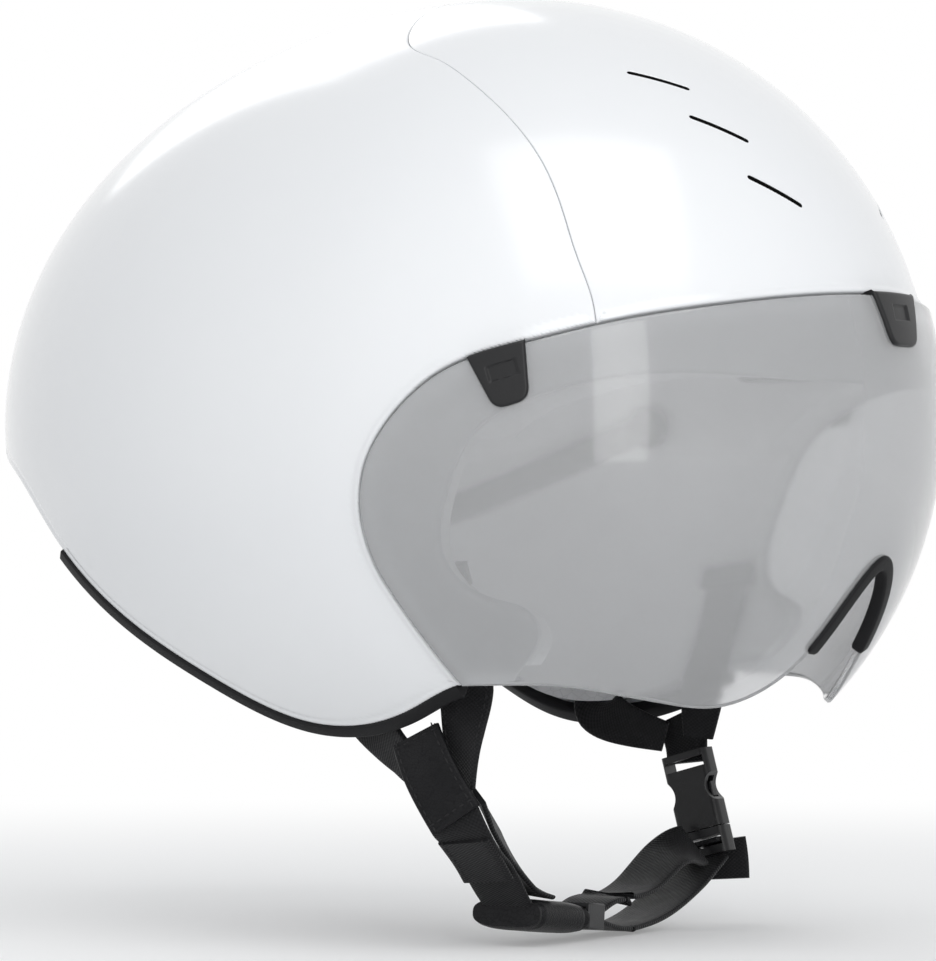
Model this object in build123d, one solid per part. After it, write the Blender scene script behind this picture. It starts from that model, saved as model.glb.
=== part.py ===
from build123d import *
import math
import os

# Aero time trial helmet with a magnetic visor, in millimetres.
# The origin is the point of the lining that the top of the wearer's head touches.
# +Z is up, the wearer looks along -Y, and +X is the wearer's left.

os.makedirs("parts", exist_ok=True)
eggs = {}

# Outside of the shell: two half eggs that meet at its widest level and widest station
half_width = 108.0
front_length = 129.0
rear_length = 171.0
crown_height = 125.0
chin_depth = 121.0

# The head, and what lies between it and the outside
crown_thickness = 30.0
head_half_width = 76.0
head_half_length = 97.5
head_dome = 85.0
pad_thickness = 6.0
ear_level = 103.0
cheek_thickness = 9.5
neck_pocket = 26.0

# Walls and running gaps
shell_wall = 2.0
fit_gap = 0.2
seam_gap = 0.5
running_gap = 0.3
overrun = 60.0

# Visor and its seat on the shell
visor_rise = 2.5
visor_wall = 2.2
visor_edge_gap = 1.2
seat_depth = 2.5
seat_wall = 3.0
seat_tuck = 5.0
seat_set_back = 1.0

# Soft strip round the nose
seal_width = 4.6
seal_lap = 0.9

# Magnet holders on the top edge of the visor
clip_height = 16.0
clip_side_width = 16.5
clip_middle_width = 24.0
clip_foot_share = 0.6
clip_lap = 1.2
clip_inner_wall = 1.9
clip_edge_gap = 0.3
clip_corner = 3.5
clip_reach = 10.0
clip_window_length = 8.0
clip_window_width = 4.5
clip_window_depth = 0.5
clip_window_share = 0.4
magnet_diameter = 8.0
visor_magnet_height = 1.2
seat_magnet_height = 2.0

# Air slots in the front panel
slot_length = 18.5
slot_width = 1.6
duct_width = 6.0
duct_inset = 1.5
duct_depth = 45.0

# Rubber trim along the lower rim
trim_height = 3.8
trim_rise = 0.8
trim_web = 1.5
trim_depth = 4.0
liner_lift = 4.3

# Pads on the liner
brow_pad_height = 22.0
brow_pad_level = 72.0
side_pad_level = 63.0
crown_pad_width = 24.0
side_pad_length = 54.0
side_pad_height = 24.0

# Fit system behind the head
pivot_level = 95.0
pin_shaft = 4.0
pin_base = 12.0
pin_head = 8.0
pin_head_wall = 1.4
pin_base_wall = 2.0
band_wall = 1.5
band_height = 9.0
band_eye = 13.0
cradle_level = 143.0
cradle_width = 92.0
cradle_height = 32.0
cradle_wall = 2.4
cradle_corner = 9.0
cradle_front = 98.0
cradle_bow = 12.0
yoke_window_share = 0.42
cradle_pad_wall = 4.0
housing_width = 52.0
housing_height = 30.0
housing_wall = 1.8
rack_wall = 2.6
rack_height = 4.4
tooth_module = 1.0
pinion_teeth = 10
dial_diameter = 27.0
dial_height = 8.0
dial_grips = 18
grip_diameter = 2.4
dial_bevel = 0.8
shaft_diameter = 6.0
screw_diameter = 2.5
screw_head = 4.6
screw_head_height = 1.6
rack_lead = 4.0
tooth_depth = 0.9
bush_diameter = 3.0
bush_depth = 1.4

# Straps and buckle
strap_width = 17.0
strap_wall = 1.6
patch_wall = 1.8
anchor_height = 7.0
anchor_wall = 3.2
buckle_width = 16.0
buckle_depth = 7.0
buckle_length = 24.0
buckle_lean = 15.0
prong_track = 13.6
scoop_radius = 5.0
scoop_depth = 2.5
buckle_corner = 2.0
bar_height = 8.0
web_slot_height = 3.0
web_slot_inset = 3.6
prong_wall = 2.4
prong_depth = 2.6
prong_length = 15.0
prong_bump = 1.2
guide_width = 2.4
keeper_wall = 1.6
keeper_length = 9.0
pad_sleeve_length = 28.0
pad_sleeve_wall = 3.0
chin_lean = 6.0

# Places worked out from the sizes above
egg_level = crown_thickness - crown_height
head_level = -head_dome
wide = half_width + overrun
far = rear_length + overrun
high = crown_height + overrun
low = chin_depth + overrun
pitch_radius = tooth_module * pinion_teeth / 2
tooth_pitch = math.pi * tooth_module
rack_length = housing_width / 2 + rack_lead
bow_radius = ((cradle_width / 2) ** 2 + cradle_bow ** 2) / (2 * cradle_bow)
bow_middle = cradle_front - bow_radius
yoke_back = cradle_front + cradle_wall
rack_front = yoke_back + running_gap
rack_back = rack_front + rack_wall
housing_inside = rack_back + running_gap
housing_back = housing_inside + housing_wall
dial_front = housing_back + running_gap
dial_back = dial_front + dial_height
cavity_half = pitch_radius + tooth_depth + rack_height + running_gap
latch_top = -buckle_length / 2 - running_gap

# Outlines seen from the side, as shares of the egg's lengths (back is plus) and heights (up is plus)
rim_shares = (
    (1.08, 0.02), (0.887, -0.079), (0.787, -0.136), (0.648, -0.309), (0.502, -0.476),
    (0.312, -0.627), (0.142, -0.727), (0.047, -0.736), (-0.116, -0.693), (-0.257, -0.633),
    (-0.36, -0.62), (-0.52, -0.61),
)
edge_cheek_shares = ((-0.312, -0.76), (-0.155, -0.40))
edge_brow_shares = (
    (-0.155, -0.40), (-0.124, -0.281), (-0.143, -0.124), (-0.222, 0.0), (-0.322, 0.084),
    (-0.484, 0.143), (-0.651, 0.192), (-0.837, 0.236),
)
edge_front_share = (-1.124, 0.304)
seat_shares = (
    (-0.24, -0.80), (-0.349, -0.628), (-0.411, -0.562), (-0.438, -0.512), (-0.43, -0.471),
    (-0.38, -0.446), (-0.322, -0.417), (-0.287, -0.369), (-0.284, -0.273), (-0.318, -0.165),
    (-0.378, -0.054), (-0.478, 0.013), (-0.624, 0.06), (-0.787, 0.075), (-0.88, 0.068),
)
seat_front_share = (-1.16, 0.045)
seam_shares = (
    (-0.62, 0.10), (-0.6, 0.232), (-0.56, 0.328), (-0.514, 0.432), (-0.452, 0.538),
    (-0.34, 0.657), (-0.211, 0.751), (-0.098, 0.81), (-0.014, 0.844), (0.03, 0.9), (0.048, 0.95),
)
seam_top_share = (0.06, 1.1)

# Lower edge of the visor seen from the front, from the nose outwards
nose_shares = (
    (0.0, -0.345), (0.065, -0.388), (0.107, -0.463), (0.141, -0.554),
)
lobe_shares = (
    (0.141, -0.554), (0.194, -0.636), (0.287, -0.686), (0.435, -0.681), (0.569, -0.655),
    (0.667, -0.637), (0.787, -0.64), (1.2, -0.66),
)

# Middles of the air slots and the way they run, seen from the front
slot_shares = (
    ((0.396, 0.768), (0.3, 0.73)),
    ((0.375, 0.662), (0.269, 0.606)),
    ((0.345, 0.522), (0.224, 0.458)),
)

# Where the magnet holders sit on the visor's top edge: the side ones between two points seen from the side
side_clip_shares = ((-0.38, 0.106), (-0.476, 0.14))
middle_clip_share = 0.268

# Smaller shares of the sizes above
trim_end_share = 0.648
edge_drop_share = 0.6
seal_step_shares = (0.0, 0.2, 0.4, 0.6, 0.8, 1.0)
brow_pad_share = 0.3
tooth_share = 0.16
tooth_tip_share = 0.6

# Route of a head band beside the head: out, back, and how far down towards its rack
band_route_shares = (
    (1.0, 0.31, 0.29), (0.915, 0.6, 0.57), (0.755, 0.84, 0.8), (0.54, 0.99, 0.95),
)

# Stations of the straps: out, back and down as shares of the egg, then turn in degrees and share of width
front_leg_shares = (
    (0.765, -0.209, 0.413, 13, 1.0), (0.704, -0.209, 0.529, 13, 1.0), (0.63, -0.209, 0.645, 10, 1.0),
    (0.634, -0.205, 0.75, -10, 0.9), (0.618, -0.202, 0.872, -25, 0.55),
)
rear_leg_shares = (
    (0.841, 0.078, 0.455, -3, 1.0), (0.758, 0.078, 0.595, -3, 1.0), (0.598, 0.062, 0.72, -20, 1.0),
    (0.616, -0.03, 0.8, -40, 0.8), (0.624, -0.108, 0.86, -8, 0.55),
)
left_front_foot_shares = ((0.63, -0.19, 0.79, -20, 0.55),)
left_rear_foot_shares = ((0.63, -0.1, 0.79, -20, 0.55),)
patch_shares = (
    (0.662, -0.097, 0.752, 4, 0.95), (0.67, -0.132, 0.826, 4, 1.0), (0.6525, -0.198, 0.948, 8, 1.0),
)
right_outer_shares = (
    (0.636, -0.165, 0.9, 0, 1.0), (0.632, -0.186, 0.955, 4, 1.0), (0.5, -0.186, 1.05, 4, 1.0),
    (0.4, -0.186, 1.14, 0, 1.0), (0.34, -0.186, 1.182, 0, 1.0), (0.13, -0.186, 1.203, 0, 1.0),
)
right_inner_shares = (
    (0.594, -0.215, 0.885, -30, 0.75), (0.53, -0.21, 0.94, -38, 0.8), (0.42, -0.2, 1.02, -35, 0.8),
    (0.31, -0.19, 1.1, -20, 0.9), (0.26, -0.186, 1.138, 0, 0.95),
)
right_end_shares = (
    (0.606, -0.19, 0.998, 4, 0.95), (0.514, -0.19, 1.066, 4, 0.95), (0.483, -0.19, 1.095, 4, 0.95),
)
webbing_shares = (
    (0.652, -0.12, 0.735, 0, 1.0), (0.66, -0.14, 0.79, 0, 0.9), (0.648, -0.15, 0.855, 0, 0.8),
)
left_outer_shares = (
    (-0.13, -0.186, 1.203, 0, 1.0), (-0.04, -0.186, 1.212, 0, 1.0), (0.08, -0.186, 1.237, 0, 1.0),
    (0.2, -0.186, 1.24, 0, 1.0),
    (0.37, -0.186, 1.211, 0, 1.0), (0.53, -0.19, 1.149, 0, 1.0), (0.66, -0.2, 1.08, 0, 0.9),
)
left_inner_shares = (
    (-0.12, -0.186, 1.186, 0, 1.0), (-0.04, -0.186, 1.194, 0, 1.0), (0.05, -0.186, 1.172, 0, 1.0),
    (0.15, -0.186, 1.168, 0, 1.0),
    (0.31, -0.186, 1.14, 0, 1.0), (0.45, -0.19, 1.08, 0, 1.0), (0.58, -0.2, 1.06, 0, 0.9),
)
left_end_shares = (
    (0.725, -0.215, 1.05, -20, 0.8), (0.73, -0.22, 1.1, -20, 0.8), (0.725, -0.225, 1.15, -20, 0.8),
)
strap_legs = (
    (front_leg_shares, left_front_foot_shares), (rear_leg_shares, left_rear_foot_shares),
)
buckle_x_share = 0.648
buckle_y_share = -0.174
buckle_z_share = 0.926
chin_pad_shares = (-0.26, 1.19)
keeper_shares = (-0.08, 1.199)
chin_y_share = -0.186


def octant(length, height, offset, turn, up):
    """One eighth of the egg: an eighth of a ball stretched to the half sizes of its corner."""
    low_arc, high_arc = (0, 90) if up > 0 else (-90, 0)
    ball = Sphere(half_width, arc_size1=low_arc, arc_size2=high_arc, arc_size3=90, align=Align.NONE)
    stretch = tuple((size + offset) / half_width for size in (half_width, length, height))
    return scale(Rot(0, 0, turn) * ball, by=stretch)


def egg(offset):
    """The egg of the helmet's outside, grown or shrunk all round by one offset."""
    if offset not in eggs:
        quarters = ((rear_length, 0), (rear_length, 90), (front_length, 180), (front_length, 270))
        pieces = [
            octant(length, height, offset, turn, up)
            for length, turn in quarters
            for height, up in ((crown_height, 1), (chin_depth, -1))
        ]
        eggs[offset] = Pos(0, 0, egg_level) * pieces[0].fuse(*pieces[1:])
    return eggs[offset]


def sound(shape):
    """The same shape with its faces put in order where a cut left them loose."""
    return shape if shape.is_valid else shape.fix()


def through(outline):
    """An outline seen from the side, stretched right through the helmet."""
    return extrude(Pos(-wide, 0, 0) * outline, amount=2 * wide, dir=(1, 0, 0))


def within(offset, outline):
    """The egg inside an outline seen from the side."""
    return sound(egg(offset) & through(outline))


def layer(outer, inner, outline):
    """A wall between two offsets of the egg, inside an outline seen from the side."""
    return sound(within(outer, outline) - egg(inner))


def side_point(y_share, z_share, shift=0, lift=0):
    length = rear_length if y_share > 0 else front_length
    height = crown_height if z_share > 0 else chin_depth
    return Vector(0, y_share * length + shift, z_share * height + egg_level + lift)


def side_points(shares, shift=0, lift=0):
    return [side_point(y, z, shift, lift) for y, z in shares]


def side_face(edges):
    """The flat face inside a closed run of edges seen from the side."""
    return Face(Wire(edges))


def chain(points):
    return [Line(a, b) for a, b in zip(points, points[1:])]


def above_rim(lift=0):
    """Everything above the lower rim, or above a line that much higher."""
    points = side_points(rim_shares, 0, lift)
    top = egg_level + high
    corners = [points[-1], Vector(0, -far, points[-1].Z), Vector(0, -far, top), Vector(0, far, top)]
    corners += [Vector(0, far, points[0].Z), points[0]]
    return side_face([Spline(points)] + chain(corners))


def behind_edge(shift=0):
    """Everything behind the line where shell and visor meet, or behind a line further forward."""
    drop = -shift * edge_drop_share
    cheek = side_points(edge_cheek_shares, -shift, drop)
    brow = side_points(edge_brow_shares, -shift, drop)
    front = side_point(*edge_front_share, -shift, drop)
    top = egg_level + high
    bottom = egg_level - low
    corners = [brow[-1], front, Vector(0, -far, front.Z), Vector(0, -far, top), Vector(0, far, top)]
    corners += [Vector(0, far, bottom), Vector(0, cheek[0].Y, bottom), cheek[0]]
    ends = [Line(cheek[0], cheek[1])]
    ends.append(Spline(brow, tangents=[cheek[1] - cheek[0], front - brow[-1]]))
    return side_face(ends + chain(corners))


def behind_seat(shift=0):
    """Everything behind the front edge of the visor's seat, or behind a line further forward."""
    points = side_points(seat_shares, -shift)
    front = side_point(*seat_front_share, -shift)
    top = egg_level + high
    bottom = egg_level - low
    corners = [points[-1], front, Vector(0, -far, front.Z), Vector(0, -far, top), Vector(0, far, top)]
    corners += [Vector(0, far, bottom), Vector(0, points[0].Y, bottom), points[0]]
    return side_face([Spline(points)] + chain(corners))


def ahead_of_seam(shift=0):
    """Everything in front of the seam between the front and rear panels."""
    points = side_points(seam_shares, -shift)
    crown = side_point(*seam_top_share, -shift)
    top = egg_level + high
    corners = [points[-1], crown, Vector(0, crown.Y, top), Vector(0, -far, top)]
    corners += [Vector(0, -far, points[0].Z), points[0]]
    return side_face([Spline(points)] + chain(corners))


def front_point(x_share, z_share):
    height = crown_height if z_share > 0 else chin_depth
    return Vector(x_share * half_width, 0, z_share * height + egg_level)


def front_block(face):
    return extrude(face, amount=far, dir=(0, -1, 0))


def below_visor():
    """What the nose and the two lobes leave out of the visor, seen from the front."""
    nose = [front_point(x, z) for x, z in nose_shares]
    lobe = [front_point(x, z) for x, z in lobe_shares]
    leg = nose[-1] - nose[-2]
    edges = []
    for side in (1, -1):
        turned = [Vector(p.X * side, p.Y, p.Z) for p in nose]
        outer = [Vector(p.X * side, p.Y, p.Z) for p in lobe]
        slope = Vector(leg.X * side, leg.Y, leg.Z)
        edges.append(Spline(turned, tangents=[Vector(side, 0, 0), slope]))
        edges.append(Spline(outer[:-1], tangents=[slope, outer[-1] - outer[-2]]))
        corner = Vector(outer[-1].X, 0, egg_level - low)
        edges += chain([outer[-2], outer[-1], corner, Vector(0, 0, egg_level - low)])
    return front_block(Face(Wire(edges)))


def seal_band():
    """The strip along the nose edge, seen from the front, with round ends."""
    nose = [front_point(x, z) for x, z in nose_shares]
    leg = nose[-1] - nose[-2]
    band = None
    for side in (1, -1):
        turned = [Vector(p.X * side, p.Y, p.Z) for p in nose]
        curve = Spline(turned, tangents=[Vector(side, 0, 0), Vector(leg.X * side, leg.Y, leg.Z)])
        places = [curve @ share for share in seal_step_shares]
        strips = [SlotCenterToCenter((b - a).length, seal_width) for a, b in zip(places, places[1:])]
        for strip, a, b in zip(strips, places, places[1:]):
            place = Plane(origin=(a + b) * 0.5, x_dir=b - a, z_dir=(0, -1, 0))
            band = place * strip if band is None else band + place * strip
    return extrude(band, amount=far, dir=(0, -1, 0))


def skin_point(x=None, y=None, z=None, side=-1):
    """The point of the egg at two known coordinates, measured from its middle."""
    height = crown_height if z > 0 else chin_depth
    if x is None:
        length = rear_length if y > 0 else front_length
        x = side * half_width * math.sqrt(1 - (y / length) ** 2 - (z / height) ** 2)
    else:
        y = -front_length * math.sqrt(1 - (x / half_width) ** 2 - (z / height) ** 2)
        length = front_length
    normal = Vector(x / half_width ** 2, y / length ** 2, z / height ** 2).normalized()
    return Vector(x, y, z + egg_level), normal


def slot_places():
    """Middle, direction and outward normal of each air slot, on both sides."""
    places = []
    for outer, inner in slot_shares:
        for side in (-1, 1):
            ends = [skin_point(x=side * x * half_width, z=z * crown_height)[0] for x, z in (outer, inner)]
            middle = (ends[0] + ends[1]) * 0.5
            skin, normal = skin_point(x=middle.X, z=middle.Z - egg_level)
            places.append(Plane(origin=skin, x_dir=ends[1] - ends[0], z_dir=normal))
    return places


def slot_cuts(length, width, depth):
    """Rounded holes along the air slots, down to a depth below the skin."""
    cutter = extrude(SlotOverall(length, width), amount=depth, both=True)
    cutters = [place * cutter for place in slot_places()]
    return cutters[0].fuse(*cutters[1:])


def head_space(inset, floor):
    """The hollow for the head: half an ellipsoid above a straight wall that ends at floor."""
    sizes = (head_half_width + inset, head_half_length + inset, head_dome + inset)
    ball = Sphere(half_width, arc_size1=0, align=Align.NONE)
    dome = scale(ball, by=tuple(size / half_width for size in sizes))
    wall = extrude(Ellipse(sizes[0], sizes[1]), amount=-(head_level - floor))
    return Pos(0, 0, head_level) * (dome + wall)


def ear_space():
    """The wider hollow below the ears' upper edge, following the shell at the cheeks."""
    room = Ellipse(half_width, head_half_length + neck_pocket)
    block = Pos(0, 0, -ear_level) * extrude(room, amount=-low)
    return block & egg(-cheek_thickness)


def clip_place(side):
    """Plane on the skin at a magnet holder, with local Y up to the visor's edge."""
    if side == 0:
        skin, normal = skin_point(x=0, z=middle_clip_share * crown_height)
        return Plane(origin=skin, x_dir=(1, 0, 0), z_dir=normal)
    rear, front = [
        skin_point(y=y * front_length, z=z * crown_height, side=side)[0] for y, z in side_clip_shares
    ]
    middle = (rear + front) * 0.5
    skin, normal = skin_point(y=middle.Y, z=middle.Z - egg_level, side=side)
    return Plane(origin=skin, x_dir=(rear - front) * side, z_dir=normal)


def magnet_place(side):
    """Plane on the skin at the middle of a magnet holder."""
    middle = clip_place(side).from_local_coords(Vector(0, -clip_height / 2, 0))
    height = middle.Z - egg_level
    skin, normal = skin_point(x=0, z=height) if side == 0 else skin_point(y=middle.Y, z=height, side=side)
    return Plane(origin=skin, z_dir=normal)


def half(side):
    """All space on one side of the middle plane."""
    return Pos(side * wide / 2, 0, egg_level) * Box(wide, 2 * far, 2 * high)


def everything():
    """All that can be seen from the side."""
    return Plane.YZ * Pos(0, egg_level, 0) * Rectangle(2 * far, 2 * high)


def rubber_zone():
    """The stretch of the rim that carries the rubber trim, up to its rear end, seen from the side."""
    return Plane.YZ * Pos(trim_end_share * rear_length - far, egg_level, 0) * Rectangle(2 * far, 2 * high)


def shell_panels():
    """The two hard panels of the outer shell, parted by the seam over the crown."""
    outline = above_rim() & behind_edge()
    outline -= rubber_zone() - above_rim(trim_web + fit_gap)
    ducts = slot_cuts(slot_length, slot_width, crown_thickness)
    front = layer(0, -shell_wall, outline & ahead_of_seam(seam_gap / 2)) - ducts
    rear = layer(0, -shell_wall, outline - ahead_of_seam(-seam_gap / 2)) - ducts
    return front, rear


def magnet(side, top, height):
    """A disc magnet behind a holder, its outer face at a height from the skin."""
    return magnet_place(side) * Pos(0, 0, top - height / 2) * Cylinder(magnet_diameter / 2, height)


def seat_magnet(side):
    return magnet(side, -seat_depth - seat_set_back / 2, seat_magnet_height)


def visor_magnet(side):
    top = visor_rise - visor_wall - (clip_inner_wall - visor_magnet_height) / 2
    return magnet(side, top, visor_magnet_height)


def visor_seat():
    """The stepped-in frame behind the visor, from under the shell to the edge of the face opening."""
    outline = (behind_seat() & above_rim()) - behind_edge(-seat_tuck)
    outline -= behind_edge() - above_rim(liner_lift)
    wall = layer(-seat_depth, -seat_depth - seat_wall, outline)
    for side in (-1, 0, 1):
        wall -= seat_magnet(side)
    return wall


def pin_place(side):
    """Plane at the temple pivot with local Z pointing inwards, towards the head."""
    wall = head_half_width + pad_thickness - fit_gap
    return Plane(origin=(side * wall, 0, -pivot_level), x_dir=(0, 1, 0), z_dir=(-side, 0, 0))


def pivot_pin(side):
    """Moulded pin that carries one end of the head band."""
    place = pin_place(side)
    length = pad_thickness - fit_gap
    base = Pos(0, 0, -pin_base_wall / 2) * Cylinder(pin_base / 2, pin_base_wall)
    shaft = Pos(0, 0, length / 2) * Cylinder(pin_shaft / 2, length)
    cap = Pos(0, 0, length - pin_head_wall / 2) * Cylinder(pin_head / 2, pin_head_wall)
    return place * (base + shaft + cap)


def foam_liner():
    """The foam between shell and head, hollowed for the head, the ears and the air ducts."""
    back = within(-shell_wall - fit_gap, above_rim(liner_lift) & behind_edge(-seat_tuck - fit_gap))
    front = within(-seat_depth - seat_wall - fit_gap, above_rim(liner_lift) & behind_seat(-seat_set_back))
    body = back + front
    body -= head_space(pad_thickness, -ear_level - pad_thickness)
    body -= ear_space()
    body -= slot_cuts(slot_length - duct_inset, duct_width, duct_depth)
    for side in (-1, 1):
        depth = pin_base_wall + fit_gap
        pocket = Cylinder(pin_base / 2 + fit_gap, depth + pad_thickness)
        body -= pin_place(side) * Pos(0, 0, -depth / 2) * pocket
        for leg, foot in strap_legs:
            body -= strap_anchor(leg, side)
            body -= strap_leg(leg, foot, side)
    return body


def rim_trim(side):
    """Rubber channel pushed over the lower edge of the shell on one side."""
    outline = above_rim() & behind_edge() & rubber_zone()
    outside = layer(trim_rise, fit_gap / 2, outline - above_rim(trim_height))
    inside = layer(-shell_wall - fit_gap / 2, -trim_depth, outline - above_rim(trim_height))
    web = layer(trim_rise, -trim_depth, outline - above_rim(trim_web))
    return (outside + inside + web) & half(side)


def clip_outline(width):
    """Outline of a magnet holder below the visor's edge, narrower and rounded at its foot."""
    top = clip_height / 2
    foot = width * clip_foot_share / 2
    shape = Polyline((-width / 2, top), (-width / 2, 0), (-foot, -clip_height), (foot, -clip_height),
                     (width / 2, 0), (width / 2, top), (-width / 2, top))
    face = make_face(shape)
    return fillet(face.vertices().sort_by(Axis.Y)[:2], clip_corner)


def clip_block(side):
    width = clip_middle_width if side == 0 else clip_side_width
    return clip_place(side) * extrude(clip_outline(width), amount=clip_reach, both=True)


def visor_lens():
    """The smoked visor: one curved sheet with a lobe below each eye and a notch for the nose."""
    sheet = layer(visor_rise, visor_rise - visor_wall, everything() - behind_edge(visor_edge_gap))
    return sound(sheet - below_visor())


def visor_clip(side, lens):
    """Black holder that grips the visor's edge and carries a magnet on its inner face."""
    block = clip_block(side) - through(behind_edge(clip_edge_gap))
    wall = sound(block & egg(visor_rise + clip_lap)) - egg(visor_rise - visor_wall - clip_inner_wall)
    holder = sound(sound(wall) - lens)
    recess = clip_place(side) * Pos(0, -clip_height * clip_window_share, visor_rise + clip_lap)
    holder -= recess * Box(clip_window_length, clip_window_width, 2 * clip_window_depth)
    return holder - visor_magnet(side)


def nose_seal():
    """Soft strip pushed over the nose edge of the visor."""
    band = seal_band()
    inner_skin = visor_rise - visor_wall
    outside = sound(band & egg(visor_rise + seal_lap)) - egg(visor_rise + fit_gap / 2)
    inside = sound(band & egg(inner_skin - fit_gap / 2)) - egg(inner_skin - seal_lap)
    web = sound(band & below_visor() & egg(visor_rise + seal_lap)) - egg(inner_skin - seal_lap)
    return outside + inside + web


def pad_wall():
    floor = -ear_level
    return head_space(pad_thickness - fit_gap, floor) - head_space(0, floor)


def brow_pad():
    reach = head_half_length
    middle = Pos(0, -reach * brow_pad_share - reach / 2, -brow_pad_level)
    return pad_wall() & (middle * Box(2 * wide, reach, brow_pad_height))


def rear_pad():
    reach = head_half_length
    middle = Pos(0, reach * brow_pad_share + reach / 2, -brow_pad_level)
    return pad_wall() & (middle * Box(2 * wide, reach, brow_pad_height))


def crown_pad():
    room = Pos(0, 0, pad_thickness) * Box(crown_pad_width, head_half_length, head_dome)
    return pad_wall() & room


def side_pad(side):
    room = Pos(side * wide / 2, 0, -side_pad_level) * Box(wide, side_pad_length, side_pad_height)
    return pad_wall() & room


def cylinder_y(radius, start, end):
    """A cylinder along Y at the dial's axis, from one station to another."""
    turn = Location((0, (start + end) / 2, -cradle_level), (90, 0, 0))
    return turn * Cylinder(radius, end - start)


def block_y(width, height, start, end, x=0, z=0):
    return Pos(x, (start + end) / 2, z - cradle_level) * Box(width, end - start, height)


def screw_places():
    x = housing_width / 2 - screw_head
    z = housing_height / 2 - screw_head / 2
    return [(side * x, up * z) for side in (-1, 1) for up in (-1, 1)]


def bow(radius):
    return Pos(0, bow_middle, -cradle_level) * Cylinder(radius, 2 * cradle_height)


def cradle_yoke():
    """Bowed plate that holds the back of the head, with a flat boss for the dial."""
    outline = Plane.XZ * RectangleRounded(cradle_width, cradle_height, cradle_corner)
    windows = None
    room = (cradle_width - housing_width) / 2
    for side in (-1, 1):
        x = side * (housing_width + room) / 2
        hole = Pos(x, 0, 0) * Plane.XZ * SlotOverall(cradle_height / 2, room * yoke_window_share, 90)
        windows = hole if windows is None else windows + hole
    plate = Pos(0, 0, -cradle_level) * extrude(outline - windows, amount=-far)
    plate = plate & bow(bow_radius + cradle_wall)
    boss = block_y(housing_width, housing_height, yoke_back - cradle_bow, yoke_back)
    yoke = (plate + boss) - bow(bow_radius)
    yoke -= cylinder_y(bush_diameter / 2 + fit_gap, yoke_back - bush_depth, yoke_back)
    for x, z in screw_places():
        yoke -= Pos(x, 0, z) * cylinder_y(screw_diameter / 2, yoke_back - cradle_bow, yoke_back)
    return yoke


def cradle_housing():
    """Cover over the racks, with a bore for the dial's shaft."""
    cover = block_y(housing_width, housing_height, yoke_back, housing_back)
    cover -= block_y(2 * housing_width, 2 * cavity_half, yoke_back, housing_inside)
    cover -= cylinder_y(shaft_diameter / 2 + fit_gap, yoke_back, housing_back)
    for x, z in screw_places():
        cover -= Pos(x, 0, z) * cylinder_y(screw_diameter / 2, yoke_back, housing_back)
    return cover


def cradle_screws():
    """Four small screws through the cover into the yoke."""
    group = []
    for x, z in screw_places():
        start = bow_middle + math.sqrt(bow_radius ** 2 - x ** 2) + running_gap
        shank = Pos(x, 0, z) * cylinder_y(screw_diameter / 2, start, housing_back)
        cap = Pos(x, 0, z) * cylinder_y(screw_head / 2, housing_back, housing_back + screw_head_height)
        group.append(shank + cap)
    return Compound(children=group)


def cradle_pad(side):
    """Soft pad on the inner face of one wing of the yoke."""
    room = cradle_width / 2 - cradle_corner / 2
    block = block_y(room, cradle_height - cradle_corner, 0, far, side * (room + cradle_corner) / 2)
    return (bow(bow_radius - fit_gap) - bow(bow_radius - cradle_pad_wall)) & block


def tooth(middle, root, end):
    """Outline of one gear tooth that tapers from its root to its end."""
    base = tooth_pitch * tooth_share
    tip = base * tooth_tip_share
    points = [(middle - base, root), (middle + base, root), (middle + tip, end), (middle - tip, end)]
    return make_face(Polyline(*points, close=True))


def rack_plane():
    """The plane through the middle of the racks, at the dial's axis, with local X to the wearer's left."""
    return Plane(origin=(0, (rack_front + rack_back) / 2, -cradle_level), x_dir=(1, 0, 0), z_dir=(0, -1, 0))


def rack(side):
    """Toothed end of one head band: the left one runs above the pinion, the right one below."""
    up = side
    root = pitch_radius + tooth_depth
    body = block_y(rack_length, rack_height, rack_front, rack_back,
                   side * (rack_length / 2 - rack_lead), up * (root + rack_height / 2))
    first = math.floor(-rack_lead / tooth_pitch) + 1.5
    last = math.floor((rack_length - rack_lead) / tooth_pitch) - 0.5
    for step in range(int(last - first) + 1):
        face = tooth(side * (first + step) * tooth_pitch, up * root, up * (pitch_radius - tooth_depth))
        body += rack_plane() * extrude(face, amount=rack_wall / 2, both=True)
    return body


def dial_pinion():
    """Small gear with a stub for its bush and a shaft that carries the knob."""
    root = pitch_radius - tooth_depth - fit_gap
    gear = cylinder_y(root, rack_front, rack_back)
    for index in range(pinion_teeth):
        face = tooth(0, root - tooth_depth, pitch_radius + tooth_depth)
        face = Rot(0, 0, index * 360 / pinion_teeth) * face
        gear += rack_plane() * extrude(face, amount=rack_wall / 2, both=True)
    gear += cylinder_y(bush_diameter / 2, yoke_back - bush_depth + fit_gap, rack_front)
    gear += cylinder_y(shaft_diameter / 2, rack_back, dial_front + dial_height / 2)
    return gear - cylinder_y(screw_diameter / 2, housing_back, dial_back)


def dial_knob():
    """Round knob with finger grips round its edge."""
    knob = cylinder_y(dial_diameter / 2, dial_front, dial_back)
    knob = chamfer(knob.edges().sort_by(Axis.Y)[-1], dial_bevel)
    for index in range(dial_grips):
        angle = 2 * math.pi * index / dial_grips
        x = dial_diameter / 2 * math.cos(angle)
        z = dial_diameter / 2 * math.sin(angle)
        knob -= Pos(x, 0, z) * cylinder_y(grip_diameter / 2, dial_front, dial_back)
    knob -= cylinder_y(shaft_diameter / 2, dial_front, dial_front + dial_height / 2)
    knob -= cylinder_y(screw_diameter / 2, dial_front, dial_back)
    return knob - cylinder_y(screw_head / 2, dial_back - screw_head_height, dial_back)


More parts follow.
